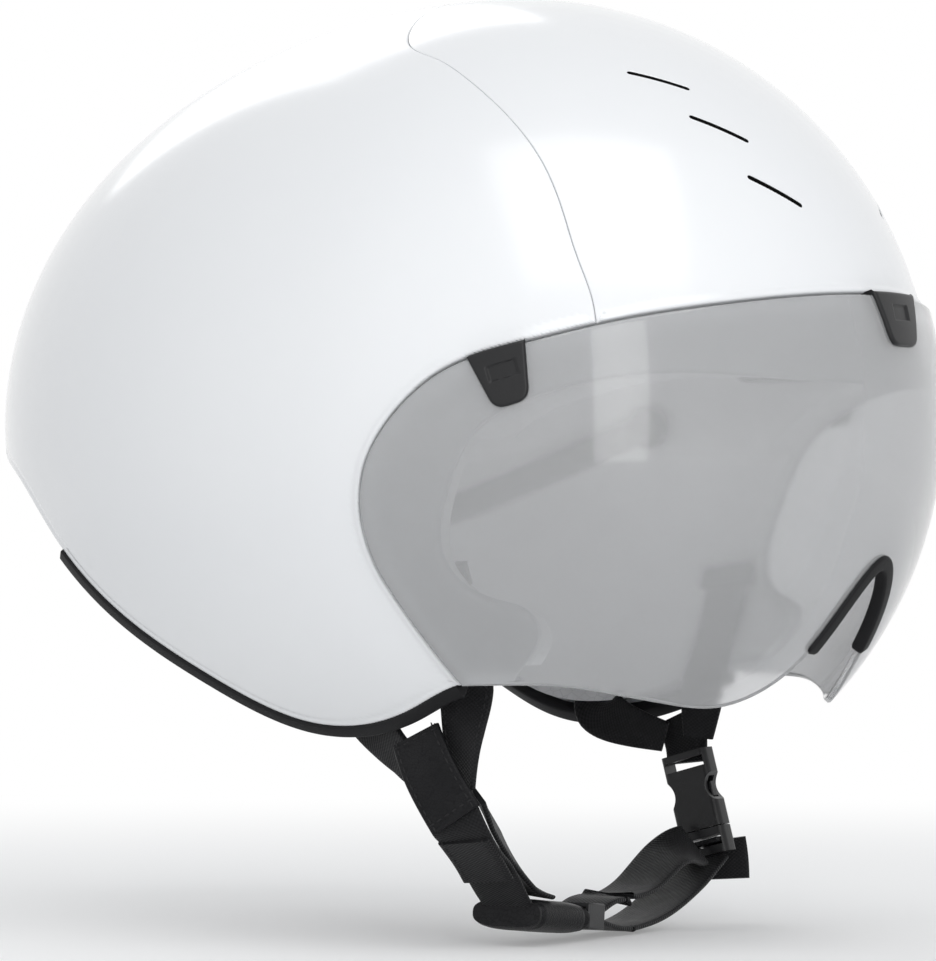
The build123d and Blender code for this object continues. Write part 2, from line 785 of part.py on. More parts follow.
def dial_screw():
    """Screw that holds the knob on the pinion's shaft."""
    shank = cylinder_y(screw_diameter / 2, housing_back + fit_gap, dial_back - screw_head_height)
    return shank + cylinder_y(screw_head / 2, dial_back - screw_head_height, dial_back)


def ribbon(middles, widths, walls, facings):
    """A flat strip through stations: ruled between rectangles that follow its run."""
    faces = []
    for index, middle in enumerate(middles):
        before = middles[max(index - 1, 0)]
        after = middles[min(index + 1, len(middles) - 1)]
        run = (after - before).normalized()
        face_way = facings[index] - run * facings[index].dot(run)
        across = run.cross(face_way.normalized())
        place = Plane(origin=middle, x_dir=across, z_dir=run)
        faces.append(place * Rectangle(widths[index], walls[index]))
    return loft(faces, ruled=True)


def head_band(side):
    """Flexible strip from the temple pin back to its rack, round the outside of the head."""
    x = head_half_width + pad_thickness / 2
    end_z = -cradle_level + side * (pitch_radius + tooth_depth + rack_height / 2)
    middles = [Vector(side * x, 0, -pivot_level)]
    for x_share, y_share, drop_share in band_route_shares:
        z = -pivot_level + (end_z + pivot_level) * drop_share
        middles.append(Vector(side * x_share * head_half_width, y_share * head_half_length, z))
    middles.append(Vector(side * (rack_length - rack_lead), (rack_front + rack_back) / 2, end_z))
    facings = [Vector(m.X, m.Y * (head_half_width / head_half_length) ** 2, 0) for m in middles]
    facings[-1] = Vector(0, 1, 0)
    widths = [band_height] * (len(middles) - 1) + [rack_height]
    strip = ribbon(middles, widths, [band_wall] * len(middles), facings)
    eye = Location((side * x, 0, -pivot_level), (0, 90, 0))
    strip += eye * Cylinder(band_eye / 2, band_wall)
    strip -= eye * Cylinder(pin_shaft / 2 + fit_gap, pad_thickness)
    return strip - rack(side)


def strap_place(spot, side):
    x_share, y_share, z_share = spot[:3]
    return Vector(side * x_share * half_width, y_share * front_length, -z_share * chin_depth + egg_level)


def strap(route, side, wall=strap_wall):
    """A strap through stations of place, turn about the vertical and share of the full width."""
    middles = [strap_place(spot, side) for spot in route]
    turns = [math.radians(spot[3]) for spot in route]
    facings = [Vector(side * math.cos(turn), -math.sin(turn), 0) for turn in turns]
    widths = [strap_width * spot[4] for spot in route]
    return ribbon(middles, widths, [wall] * len(route), facings)


def strap_leg(leg, foot, side):
    """One leg of the harness: the wearer's left legs end higher, above the buckle."""
    return strap(leg[:-len(foot) - 1] + foot if side > 0 else leg, side)


def strap_anchor(route, side):
    """Plastic plate at the top end of a strap leg, sitting on the liner."""
    top = strap_place(route[0], side)
    run = (strap_place(route[1], side) - top).normalized()
    turn = math.radians(route[0][3])
    facing = Vector(side * math.cos(turn), -math.sin(turn), 0)
    facing = (facing - run * facing.dot(run)).normalized()
    place = Plane(origin=top, x_dir=facing, z_dir=run)
    shift = Pos((strap_wall - anchor_wall) / 2, 0, -anchor_height / 2)
    return place * shift * Box(anchor_wall, strap_width + 2 * strap_wall, anchor_height)


def buckle_place():
    """Plane at the middle of the buckle, leaning forward at its lower end."""
    x = buckle_x_share * half_width
    middle = (x, buckle_y_share * front_length, egg_level - buckle_z_share * chin_depth)
    lean = math.radians(buckle_lean)
    return Plane(origin=middle, x_dir=(1, 0, 0), z_dir=(0, math.sin(lean), math.cos(lean)))


def buckle_housing():
    """Outer half of the side release buckle, on the webbing of the wearer's left side."""
    body = Box(buckle_depth, buckle_width, buckle_length)
    body = fillet(body.edges().filter_by(Axis.Z), buckle_corner)
    slot_z = buckle_length / 2 - web_slot_inset
    body -= Pos(0, 0, slot_z) * Box(2 * buckle_depth, prong_track, web_slot_height)
    track = prong_length + running_gap
    body -= Pos(0, 0, (track - buckle_length) / 2) * Box(prong_depth + 2 * running_gap, prong_track, track)
    scoop = Location((0, 0, 0), (0, 90, 0)) * Cylinder(scoop_radius, 2 * buckle_depth)
    for side in (-1, 1):
        reach = buckle_width / 2 + scoop_radius - scoop_depth
        body -= Pos(0, side * reach, 0) * scoop
    return buckle_place() * body


def buckle_latch():
    """Inner half of the buckle: a base with a slot for the strap and a middle guide."""
    base = Pos(0, 0, latch_top - bar_height / 2) * Box(buckle_depth, buckle_width, bar_height)
    base = fillet(base.edges().filter_by(Axis.Z), buckle_corner)
    base -= Pos(0, 0, latch_top - bar_height / 2) * Box(2 * buckle_depth, prong_track, web_slot_height)
    guide = Box(prong_depth, guide_width, prong_length - prong_bump)
    return buckle_place() * (base + Pos(0, 0, latch_top + (prong_length - prong_bump) / 2) * guide)


def prong(side):
    """Spring arm of the latch with its thickened tip."""
    outer = prong_track / 2 - running_gap
    start = latch_top + fit_gap
    arm_y = outer - prong_bump / 2 - prong_wall / 2
    length = prong_length - prong_bump
    arm = Pos(0, side * arm_y, start + length / 2) * Box(prong_depth, prong_wall, length)
    tip = Pos(0, side * (outer - (prong_wall + prong_bump / 2) / 2), start + length - prong_wall)
    arm += tip * Box(prong_depth, prong_wall + prong_bump / 2, 2 * prong_wall)
    return buckle_place() * arm


def latch_loop():
    """Short turn of the strap round the latch's bar, through its slot."""
    z = latch_top - bar_height / 2
    loop = Box(buckle_depth + 2 * strap_wall, prong_track - 2 * running_gap, strap_wall)
    return buckle_place() * Pos(0, 0, z) * loop


def chin_pad():
    """Soft sleeve round the strap under the chin."""
    sleeve = Box(pad_sleeve_length, strap_width + 2 * pad_sleeve_wall, 2 * (strap_wall + pad_sleeve_wall))
    sleeve = fillet(sleeve.edges().filter_by(Axis.X), pad_sleeve_wall)
    return chin_place(*chin_pad_shares) * sleeve - strap(right_outer_shares, -1)


def chin_place(x_share, z_share):
    """Place on the strap under the chin, leaning with it."""
    middle = (x_share * half_width, chin_y_share * front_length, egg_level - z_share * chin_depth)
    return Location(middle, (0, chin_lean, 0))


def strap_keeper():
    """Loop that holds the two layers of the strap together beside the chin pad."""
    inner_y = strap_width + 2 * running_gap
    inner_z = 2 * strap_wall + 4 * running_gap
    ring = Box(keeper_length, inner_y + 2 * keeper_wall, inner_z + 2 * keeper_wall)
    ring -= Box(2 * keeper_length, inner_y, inner_z)
    return chin_place(*keeper_shares) * ring


def largest(shape):
    """The biggest of the solids that a cut leaves."""
    return shape.solids().sort_by(SortBy.VOLUME)[-1]


def save(name, shape):
    """Write one named piece, each of its solids whole."""
    solids = shape.solids()
    export_step(solids[0] if len(solids) == 1 else Compound(children=solids), f"parts/{name}.step")
    print(name, len(solids), round(sum(solid.volume for solid in solids), 1))


def main():
    front, rear = shell_panels()
    save("shell_front_panel", front)
    save("shell_rear_panel", rear)
    save("visor_seat", visor_seat())
    save("foam_liner", foam_liner())
    save("seat_magnets", Compound(children=[seat_magnet(side) for side in (-1, 0, 1)]))
    save("brow_pad", brow_pad())
    save("rear_pad", rear_pad())
    save("crown_pad", crown_pad())
    lens = visor_lens()
    save("visor_lens", lens)
    save("nose_seal", nose_seal())
    save("visor_clip_centre", visor_clip(0, lens))
    save("visor_magnets", Compound(children=[visor_magnet(side) for side in (-1, 0, 1)]))
    save("cradle_yoke", cradle_yoke())
    save("cradle_housing", cradle_housing())
    save("cradle_screws", cradle_screws())
    save("dial_knob", dial_knob())
    save("dial_pinion", dial_pinion())
    save("dial_screw", dial_screw())
    for name, side in (("left", 1), ("right", -1)):
        save(f"rim_trim_{name}", rim_trim(side))
        save(f"visor_clip_{name}", visor_clip(side, lens))
        save(f"side_pad_{name}", side_pad(side))
        save(f"pivot_pin_{name}", pivot_pin(side))
        save(f"head_band_{name}", head_band(side))
        save(f"band_rack_{name}", rack(side))
        save(f"cradle_pad_{name}", cradle_pad(side))
        save(f"strap_front_{name}", strap_leg(front_leg_shares, left_front_foot_shares, side))
        save(f"strap_rear_{name}", strap_leg(rear_leg_shares, left_rear_foot_shares, side))
    anchors = [strap_anchor(leg, side) for leg, _ in strap_legs for side in (-1, 1)]
    save("strap_anchors", Compound(children=anchors))
    save("strap_patch", strap(patch_shares, -1, patch_wall))
    save("chin_strap_right_outer", strap(right_outer_shares, -1))
    save("chin_strap_right_inner", strap(right_inner_shares, -1))
    save("strap_end_right", strap(right_end_shares, -1))
    save("buckle_webbing", largest(strap(webbing_shares, 1) - buckle_housing()))
    save("chin_strap_left_outer", largest(strap(left_outer_shares, 1) - buckle_latch() - latch_loop()))
    save("chin_strap_left_inner", strap(left_inner_shares, 1))
    save("strap_end_left", strap(left_end_shares, 1))
    save("chin_pad", chin_pad())
    save("strap_keeper", strap_keeper())
    save("buckle_housing", buckle_housing())
    save("buckle_latch", buckle_latch())
    save("latch_loop", latch_loop())
    save("prong_front", prong(-1))
    save("prong_rear", prong(1))


main()
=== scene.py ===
import math

import bmesh
import bpy
import numpy as np
from mathutils import Matrix, Vector
from mathutils.geometry import delaunay_2d_cdt
from mathutils.kdtree import KDTree


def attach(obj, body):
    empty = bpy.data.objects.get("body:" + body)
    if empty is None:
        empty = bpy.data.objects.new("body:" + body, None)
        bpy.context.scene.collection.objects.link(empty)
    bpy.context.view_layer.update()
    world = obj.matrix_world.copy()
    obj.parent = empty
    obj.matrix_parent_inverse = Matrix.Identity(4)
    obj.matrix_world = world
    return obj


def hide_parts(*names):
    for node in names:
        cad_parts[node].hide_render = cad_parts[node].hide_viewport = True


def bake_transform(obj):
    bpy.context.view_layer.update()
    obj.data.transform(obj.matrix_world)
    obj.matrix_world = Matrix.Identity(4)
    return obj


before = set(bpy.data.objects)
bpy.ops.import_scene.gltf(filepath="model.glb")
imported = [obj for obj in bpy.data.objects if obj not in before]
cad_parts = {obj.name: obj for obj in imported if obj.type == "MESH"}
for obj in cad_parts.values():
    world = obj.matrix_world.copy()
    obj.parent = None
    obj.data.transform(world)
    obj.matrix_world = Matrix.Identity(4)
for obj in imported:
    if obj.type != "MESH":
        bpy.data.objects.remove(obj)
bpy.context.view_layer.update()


# The view: the helmet is seen from a low stand on the wearer's right front, 1.35 m away,
# in an upright picture that leaves more room below the helmet than above it.
helmet_middle = Vector((0, 0, -0.095))
view_turn, view_rise, view_distance = math.radians(-58), math.radians(-2), 1.35
look_from = Vector((math.sin(view_turn), -math.cos(view_turn), 0)) * math.cos(view_rise)
look_from.z = math.sin(view_rise)


def shown(name, data):
    """A new object of the scene with that data."""
    thing = bpy.data.objects.new(name, data)
    bpy.context.scene.collection.objects.link(thing)
    return thing


eye = shown("view", bpy.data.cameras.new("view"))
eye.data.lens = 170.2
eye.data.shift_x = -0.0464
eye.data.shift_y = -0.0626
eye.data.clip_start = 0.05
eye.location = helmet_middle + look_from * view_distance
eye.rotation_euler = (-look_from).to_track_quat("-Z", "Y").to_euler()
bpy.context.scene.camera = eye
bpy.context.scene.view_settings.view_transform = "Standard"


# The table top: a plain pale floor just below the straps. It whitens evenly on every side, away
# from the helmet and its shadow, into a soft white surround that the shell and visor mirror.
table_level, table_reach = -0.2472, 9
fade_start, fade_end, least_glow = 0.35, 0.9, 0.25
sheen_white = (1.0, 1.0, 1.0, 1.0)


def mesh_of(name, points, faces, edges=()):
    """A mesh from its points and the faces or edges between them."""
    mesh = bpy.data.meshes.new(name)
    mesh.from_pydata(np.array(points).tolist(), list(edges), faces)
    return mesh


def cleared(holder):
    """The emptied node tree of a material or a world."""
    holder.use_nodes = True
    holder.node_tree.nodes.clear()
    return holder.node_tree


def wire(tree, node, feeds):
    """Feeds a node's inputs: links from sockets or a node's first output, and set values."""
    for key, value in feeds.items():
        if isinstance(value, bpy.types.Node):
            value = value.outputs[0]
        if isinstance(value, bpy.types.NodeSocket):
            tree.links.new(value, node.inputs[key])
        else:
            node.inputs[key].default_value = value


def put(tree, kind, feeds=None, **settings):
    """A new node of a tree, with its settings and feeds."""
    node = tree.nodes.new(kind)
    for key, value in settings.items():
        setattr(node, key, value)
    wire(tree, node, feeds or {})
    return node


def seen_share(tree):
    """One for rays that make the picture, straight, mirrored or through the visor, else nothing."""
    rays = put(tree, "ShaderNodeLightPath").outputs
    share = rays["Is Camera Ray"]
    for other in ("Is Glossy Ray", "Is Transmission Ray"):
        share = put(tree, "ShaderNodeMath", {0: share, 1: rays[other]}, operation="MAXIMUM")
    return share


def two_way(tree, share, lit, seen, end):
    """Ends a tree in what is lit and what is seen, mixed by a share."""
    mix = put(tree, "ShaderNodeMixShader", {"Fac": share, 1: lit, 2: seen})
    put(tree, end, {"Surface": mix})


table_corners = [
    (x * table_reach, y * table_reach, table_level) for x, y in ((-1, -1), (1, -1), (1, 1), (-1, 1))
]
table_top = shown("table_top", mesh_of("table_top", table_corners, [(0, 1, 2, 3)]))
table_paint = bpy.data.materials.new("pale_table")
table_tree = cleared(table_paint)
table_place = put(table_tree, "ShaderNodeTexCoord").outputs["Object"]
table_far = put(table_tree, "ShaderNodeVectorMath", {0: table_place}, operation="LENGTH")
table_fade = put(table_tree, "ShaderNodeMapRange", {
    "Value": table_far.outputs["Value"], "From Min": fade_start, "From Max": fade_end,
    "To Min": least_glow, "To Max": 1.0,
}, interpolation_type="SMOOTHSTEP")
table_share = put(table_tree, "ShaderNodeMath", {0: seen_share(table_tree), 1: table_fade},
                  operation="MULTIPLY")
table_matt = put(table_tree, "ShaderNodeBsdfDiffuse", {"Color": (0.9, 0.9, 0.9, 1)})
table_glow = put(table_tree, "ShaderNodeEmission", {"Color": sheen_white})
two_way(table_tree, table_share, table_matt, table_glow, "ShaderNodeOutputMaterial")
table_top.data.materials.append(table_paint)

room = bpy.data.worlds.new("white_room")
bpy.context.scene.world = room
room_tree = cleared(room)
room_soft = put(room_tree, "ShaderNodeBackground", {"Color": (0.96, 0.98, 1.0, 1), "Strength": 0.62})
room_white = put(room_tree, "ShaderNodeBackground", {"Color": sheen_white, "Strength": 1.0})
two_way(room_tree, seen_share(room_tree), room_soft, room_white, "ShaderNodeOutputWorld")


# The lamps: one large soft box above and in front, one tall strip of three nested panels, whose
# reflection is the soft upright streak on the visor, and one weak lamp from behind.
def soft_box(name, place, width, height, watts):
    """A flat lamp of that size, turned towards the helmet's middle."""
    lamp = shown(name, bpy.data.lights.new(name, "AREA"))
    lamp.data.shape = "RECTANGLE"
    lamp.data.size, lamp.data.size_y = width, height
    lamp.data.energy = watts
    lamp.location = place
    lamp.rotation_euler = (helmet_middle - Vector(place)).to_track_quat("-Z", "Y").to_euler()


soft_box("front_box", (-0.9, -0.8, 1.5), 1.5, 1.5, 12)
for strip_size in ((0.17, 0.43, 0.35), (0.12, 0.40, 0.4), (0.07, 0.37, 0.6)):
    soft_box("strip_box", (-0.53, -0.495, -0.03), *strip_size)
soft_box("back_box", (0.9, 1.2, 1.1), 1.0, 1.0, 5)


# The shell: two hard glossy white panels, moulded thin and bonded over the foam, that part
# along a seam from the visor's edge over the crown. Its outside is an egg made of two half
# eggs; every outline below is drawn on it as shares of the egg's lengths and heights.
egg_half_width, egg_front, egg_rear, egg_up, egg_down = 0.108, 0.129, 0.171, 0.125, 0.121
egg_level = -0.095
edge_slope, seam_half = 0.6, 0.00007
shell_wall = 0.002
shell_white = (0.80, 0.81, 0.82, 1)
shell_shade = (0.76, 0.77, 0.79, 1)
rim_line = (
    (1.08, 0.02), (0.887, -0.079), (0.787, -0.136), (0.648, -0.309), (0.502, -0.476), (0.312, -0.627),
    (0.142, -0.727), (0.047, -0.736), (-0.116, -0.693), (-0.257, -0.633), (-0.36, -0.62), (-0.52, -0.61),
)
edge_cheek_line = ((-0.312, -0.76), (-0.155, -0.40))
edge_brow_line = (
    (-0.155, -0.40), (-0.124, -0.281), (-0.143, -0.124), (-0.222, 0.0), (-0.322, 0.084),
    (-0.484, 0.143), (-0.651, 0.192), (-0.837, 0.236),
)
edge_front_end = (-1.124, 0.304)
seam_line = (
    (-0.62, 0.10), (-0.6, 0.232), (-0.56, 0.328), (-0.514, 0.432), (-0.452, 0.538),
    (-0.34, 0.657), (-0.211, 0.751), (-0.098, 0.81), (-0.014, 0.844), (0.03, 0.9), (0.048, 0.95),
)
seam_top_end = (0.06, 1.1)
air_slots = (
    ((0.396, 0.768), (0.3, 0.73)), ((0.375, 0.662), (0.269, 0.606)), ((0.345, 0.522), (0.224, 0.458)),
)
air_slot_length, air_slot_width = 0.0185, 0.0016
slot_wall_top, slot_wall_foot, slot_wall_reach = 0.0005, 0.0016, 0.62
lip_height, lip_start, lip_end = 0.00055, 0.0013, 0.0026
groove_depth, groove_inset, groove_width = 0.00025, 0.0021, 0.0005
edge_round, rim_round, seam_round = 0.0008, 0.0004, 0.00025
ring_step, lattice_row, egg_mean = 0.0012, 0.866, 0.125
row_clearance, lattice_clearance = 0.85, 0.45
shell_rows = (
    0.0001, 0.00025, 0.00045, 0.0007, 0.001, 0.0013, 0.0016, 0.0019, 0.0022, 0.0026, 0.003, 0.0036, 0.0046,
)


def material(name):
    """A procedural material, and helpers that add a node, mix two shades and feed its shader."""
    paint = bpy.data.materials.new(name)
    tree = cleared(paint)
    shader = put(tree, "ShaderNodeBsdfPrincipled")
    put(tree, "ShaderNodeOutputMaterial", {"Surface": shader})

    def add(kind, feeds=None, **settings):
        return put(tree, "ShaderNode" + kind, feeds, **settings)

    def shades(share, dark, light):
        return add("Mix", {"Factor": share, 6: dark, 7: light}, data_type="RGBA").outputs[2]

    def dress(**feeds):
        wire(tree, shader, {key.replace("_", " "): value for key, value in feeds.items()})
        return paint

    return add, shades, dress


def black(level):
    """A near-black with a trace of blue."""
    return level, level, level + 0.001, 1


def moulded(name, dark, light, gloss, grain, bump, patch_scale=18.0, coat=0.0, metal=0.0, specular=0.5):
    """A moulded surface: cloudy colour between two shades, uneven gloss and a fine grain in relief."""
    add, shades, dress = material(name)
    place = add("TexCoord").outputs["Object"]
    cloud = add("TexNoise", {"Vector": place, "Scale": patch_scale, "Detail": 5.0, "Roughness": 0.6})
    fine = add("TexNoise", {"Vector": place, "Scale": grain, "Detail": 3.0, "Roughness": 0.55})
    rough = add("MapRange", {"Value": fine.outputs["Fac"], "To Min": gloss[0], "To Max": gloss[1]})
    relief = add("Bump", {"Height": fine.outputs["Fac"], "Strength": bump, "Distance": 0.0003})
    return dress(
        Base_Color=shades(cloud.outputs["Fac"], dark, light), Roughness=rough,
        Normal=relief, Coat_Weight=coat, Coat_Roughness=0.14, Metallic=metal,
        Specular_IOR_Level=specular,
    )


def half_sizes(ways, reach):
    """Half sizes of the egg in the eighth that each direction lies in, grown by a reach."""
    sizes = np.empty_like(ways)
    sizes[:, 0] = egg_half_width
    sizes[:, 1] = np.where(ways[:, 1] > 0, egg_rear, egg_front)
    sizes[:, 2] = np.where(ways[:, 2] > 0, egg_up, egg_down)
    return sizes + np.reshape(reach, (-1, 1))


def on_egg(ways, reach=0.0):
    """Points of the egg in directions given as shares of its half sizes."""
    return ways * half_sizes(ways, reach) + (0, 0, egg_level)


def unit(rows):
    """Each row of an array brought to a length of one."""
    return rows / np.linalg.norm(rows, axis=1, keepdims=True)


def egg_ways(points):
    """Directions of the egg's points that lie nearest to points in space."""
    ways = points - np.array((0, 0, egg_level))
    return unit(ways / half_sizes(ways, 0.0))


def way_to(spot):
    """Direction of the egg's point that lies nearest to one spot."""
    return egg_ways(np.array([tuple(spot)]))


def straight_out(way):
    """The way straight out of the egg at one direction."""
    return Vector((way[0] / half_sizes(way, 0.0)[0]).tolist()).normalized()


def run_along(points):
    """How far each point lies along a line of points."""
    return np.concatenate(([0.0], np.cumsum(np.linalg.norm(np.diff(points, axis=0), axis=1))))


def flow(points, start=None, end=None, count=500):
    """A smooth curve through points, with its direction at either end where one is given."""
    points = np.array(points, float)
    gaps = np.linalg.norm(np.diff(points, axis=0), axis=1)
    knots = np.concatenate(([0.0], np.cumsum(gaps)))
    size = len(points)
    grid = np.zeros((size, size))
    right = np.zeros_like(points)
    for i in range(1, size - 1):
        grid[i, i - 1:i + 2] = gaps[i], 2 * (gaps[i - 1] + gaps[i]), gaps[i - 1]
        right[i] = 3 * (gaps[i] / gaps[i - 1] * (points[i] - points[i - 1])
                        + gaps[i - 1] / gaps[i] * (points[i + 1] - points[i]))
    for at, beside, given, gap in ((0, 1, start, gaps[0]), (-1, -2, end, gaps[-1])):
        if given is None:
            grid[at, at], grid[at, beside] = 2, 1
            right[at] = 3 * (points[1] - points[0] if at == 0 else points[-1] - points[-2]) / gap
        else:
            grid[at, at] = 1
            right[at] = np.array(given, float) / np.linalg.norm(given)
    slopes = np.linalg.solve(grid, right)
    reads = np.linspace(0, knots[-1], count)
    span = np.clip(np.searchsorted(knots, reads, side="right") - 1, 0, size - 2)
    h = gaps[span][:, None]
    s = ((reads - knots[span]) / gaps[span])[:, None]
    return ((1 + 2 * s) * (1 - s) ** 2 * points[span] + s * (1 - s) ** 2 * h * slopes[span]
            + s ** 2 * (3 - 2 * s) * points[span + 1] + s ** 2 * (s - 1) * h * slopes[span + 1])


def side_metres(shares, shift=0.0, lift=0.0):
    """Points seen from the side, in metres from the egg's middle."""
    return np.array([
        (y * (egg_rear if y > 0 else egg_front) + shift, z * (egg_up if z > 0 else egg_down) + lift)
        for y, z in shares
    ])


def side_shares(line, reach=0.0):
    """The same points as shares of the egg's length and height at a reach."""
    y = line[:, 0] / (np.where(line[:, 0] > 0, egg_rear, egg_front) + reach)
    z = line[:, 1] / (np.where(line[:, 1] > 0, egg_up, egg_down) + reach)
    return np.stack((y, z), axis=1)


def edge_curve(shift=0.0, reach=0.0):
    """The line where shell and visor meet, from cheek to forehead, moved forward by a shift."""
    drop = -edge_slope * shift
    cheek = side_metres(edge_cheek_line, -shift, drop)
    brow = side_metres(edge_brow_line, -shift, drop)
    front = side_metres((edge_front_end,), -shift, drop)
    middle = flow(brow, cheek[1] - cheek[0], front[0] - brow[-1])
    return side_shares(np.vstack((
        flow(cheek, count=120), middle[1:], flow((brow[-1], front[0]), count=160)[1:],
    )), reach)


def seam_curve(shift):
    """The line where the two panels part, from the visor's edge to the crown."""
    line = side_metres(seam_line, -shift)
    top = side_metres((seam_top_end,), -shift)
    return side_shares(np.vstack((flow(line), flow((line[-1], top[0]), count=80)[1:])))


def rim_curve(reach=0.0):
    """The lower rim of the shell, from the tail to the face."""
    return side_shares(flow(side_metres(rim_line), count=900), reach)


def meeting(first, second):
    """Where two flat lines cross: the place, and the steps before it on either line."""
    a, b = first[:-1, None], second[None, :-1]
    da, db = np.diff(first, axis=0)[:, None], np.diff(second, axis=0)[None]
    cross = da[..., 0] * db[..., 1] - da[..., 1] * db[..., 0]
    cross = np.where(np.abs(cross) < 1e-14, 1e-14, cross)
    gap = b - a
    s = (gap[..., 0] * db[..., 1] - gap[..., 1] * db[..., 0]) / cross
    t = (gap[..., 0] * da[..., 1] - gap[..., 1] * da[..., 0]) / cross
    i, j = np.argwhere((s >= 0) & (s < 1) & (t >= 0) & (t < 1))[0]
    return first[i] + s[i, j] * (first[i + 1] - first[i]), i, j


def to_middle(line):
    """A line seen from the side, ended exactly where it reaches the helmet's middle plane."""
    inside = 1 - (line ** 2).sum(axis=1)
    last = int(np.argmax(inside < 0)) - 1
    part = inside[last] / (inside[last] - inside[last + 1])
    end = line[last] + part * (line[last + 1] - line[last])
    back = max(last - 6, 0)
    ease = (1 - np.linspace(0, 1, 40)[:, None]) ** 2
    end = end / np.linalg.norm(end)
    return np.vstack((line[:back], end + (line[back] - end) * ease))


def lifted(line, side=1):
    """Directions on the egg above a line seen from the side."""
    out = np.sqrt(np.clip(1 - (line ** 2).sum(axis=1), 0, None))
    return np.column_stack((side * out, line))


def onward(corner, line, at):
    """Directions from a corner along the rest of a line, up to the helmet's middle plane."""
    return lifted(to_middle(np.vstack((corner, line[at + 1:]))))


def evenly(ways, step):
    """The same run of directions with its points an even step apart on the egg."""
    run = run_along(on_egg(ways))
    count = max(int(round(run[-1] / step)), 2)
    reads = np.linspace(0, run[-1], count + 1)
    return unit(np.column_stack([np.interp(reads, run, ways[:, i]) for i in range(3)]))


def ring(runs, step=ring_step):
    """Closes runs of directions into one ring, with the kind of edge at each point."""
    parts, kinds = [], []
    for ways, kind in runs:
        run = evenly(ways, step)[:-1]
        parts.append(run)
        kinds += [kind] * len(run)
    return np.vstack(parts), np.array(kinds)


def mirrored(ways):
    """The same run on the other side, running the other way."""
    return (ways * (-1, 1, 1))[::-1]


def flat_map(toward):
    """Two functions that lay directions out flat round a middle one, and bring them back."""
    pole = np.array(toward, float) / np.linalg.norm(toward)
    east = np.cross((0.0, 0.31, 1.0), pole)
    east /= np.linalg.norm(east)
    north = np.cross(pole, east)

    def lay(ways):
        angle = np.arccos(np.clip(ways @ pole, -1, 1))
        flat = np.column_stack((ways @ east, ways @ north))
        return flat * (angle / np.maximum(np.linalg.norm(flat, axis=1), 1e-12))[:, None]

    def lift(flat):
        angle = np.linalg.norm(flat, axis=1)
        across = flat / np.maximum(angle, 1e-12)[:, None]
        return (np.cos(angle)[:, None] * pole
                + np.sin(angle)[:, None] * (across[:, :1] * east + across[:, 1:] * north))

    return lay, lift


def enclosed(points, loop):
    """Which flat points lie inside a closed loop."""
    inside = np.zeros(len(points), bool)
    ends = np.roll(loop, -1, axis=0)
    for (x1, y1), (x2, y2) in zip(loop, ends):
        if y1 == y2:
            continue
        spans = (y1 > points[:, 1]) != (y2 > points[:, 1])
        inside ^= spans & (points[:, 0] < (x2 - x1) * (points[:, 1] - y1) / (y2 - y1) + x1)
    return inside


def beside(ways, distance):
    """A ring of directions moved sideways on the egg, to the left of its run."""
    spots = on_egg(ways)
    along = np.roll(spots, -1, axis=0) - np.roll(spots, 1, axis=0)
    normals = (spots - (0, 0, egg_level)) / half_sizes(ways, 0.0) ** 2
    across = np.cross(normals, along)
    across /= np.maximum(np.linalg.norm(across, axis=1, keepdims=True), 1e-12)
    return egg_ways(spots + across * distance)


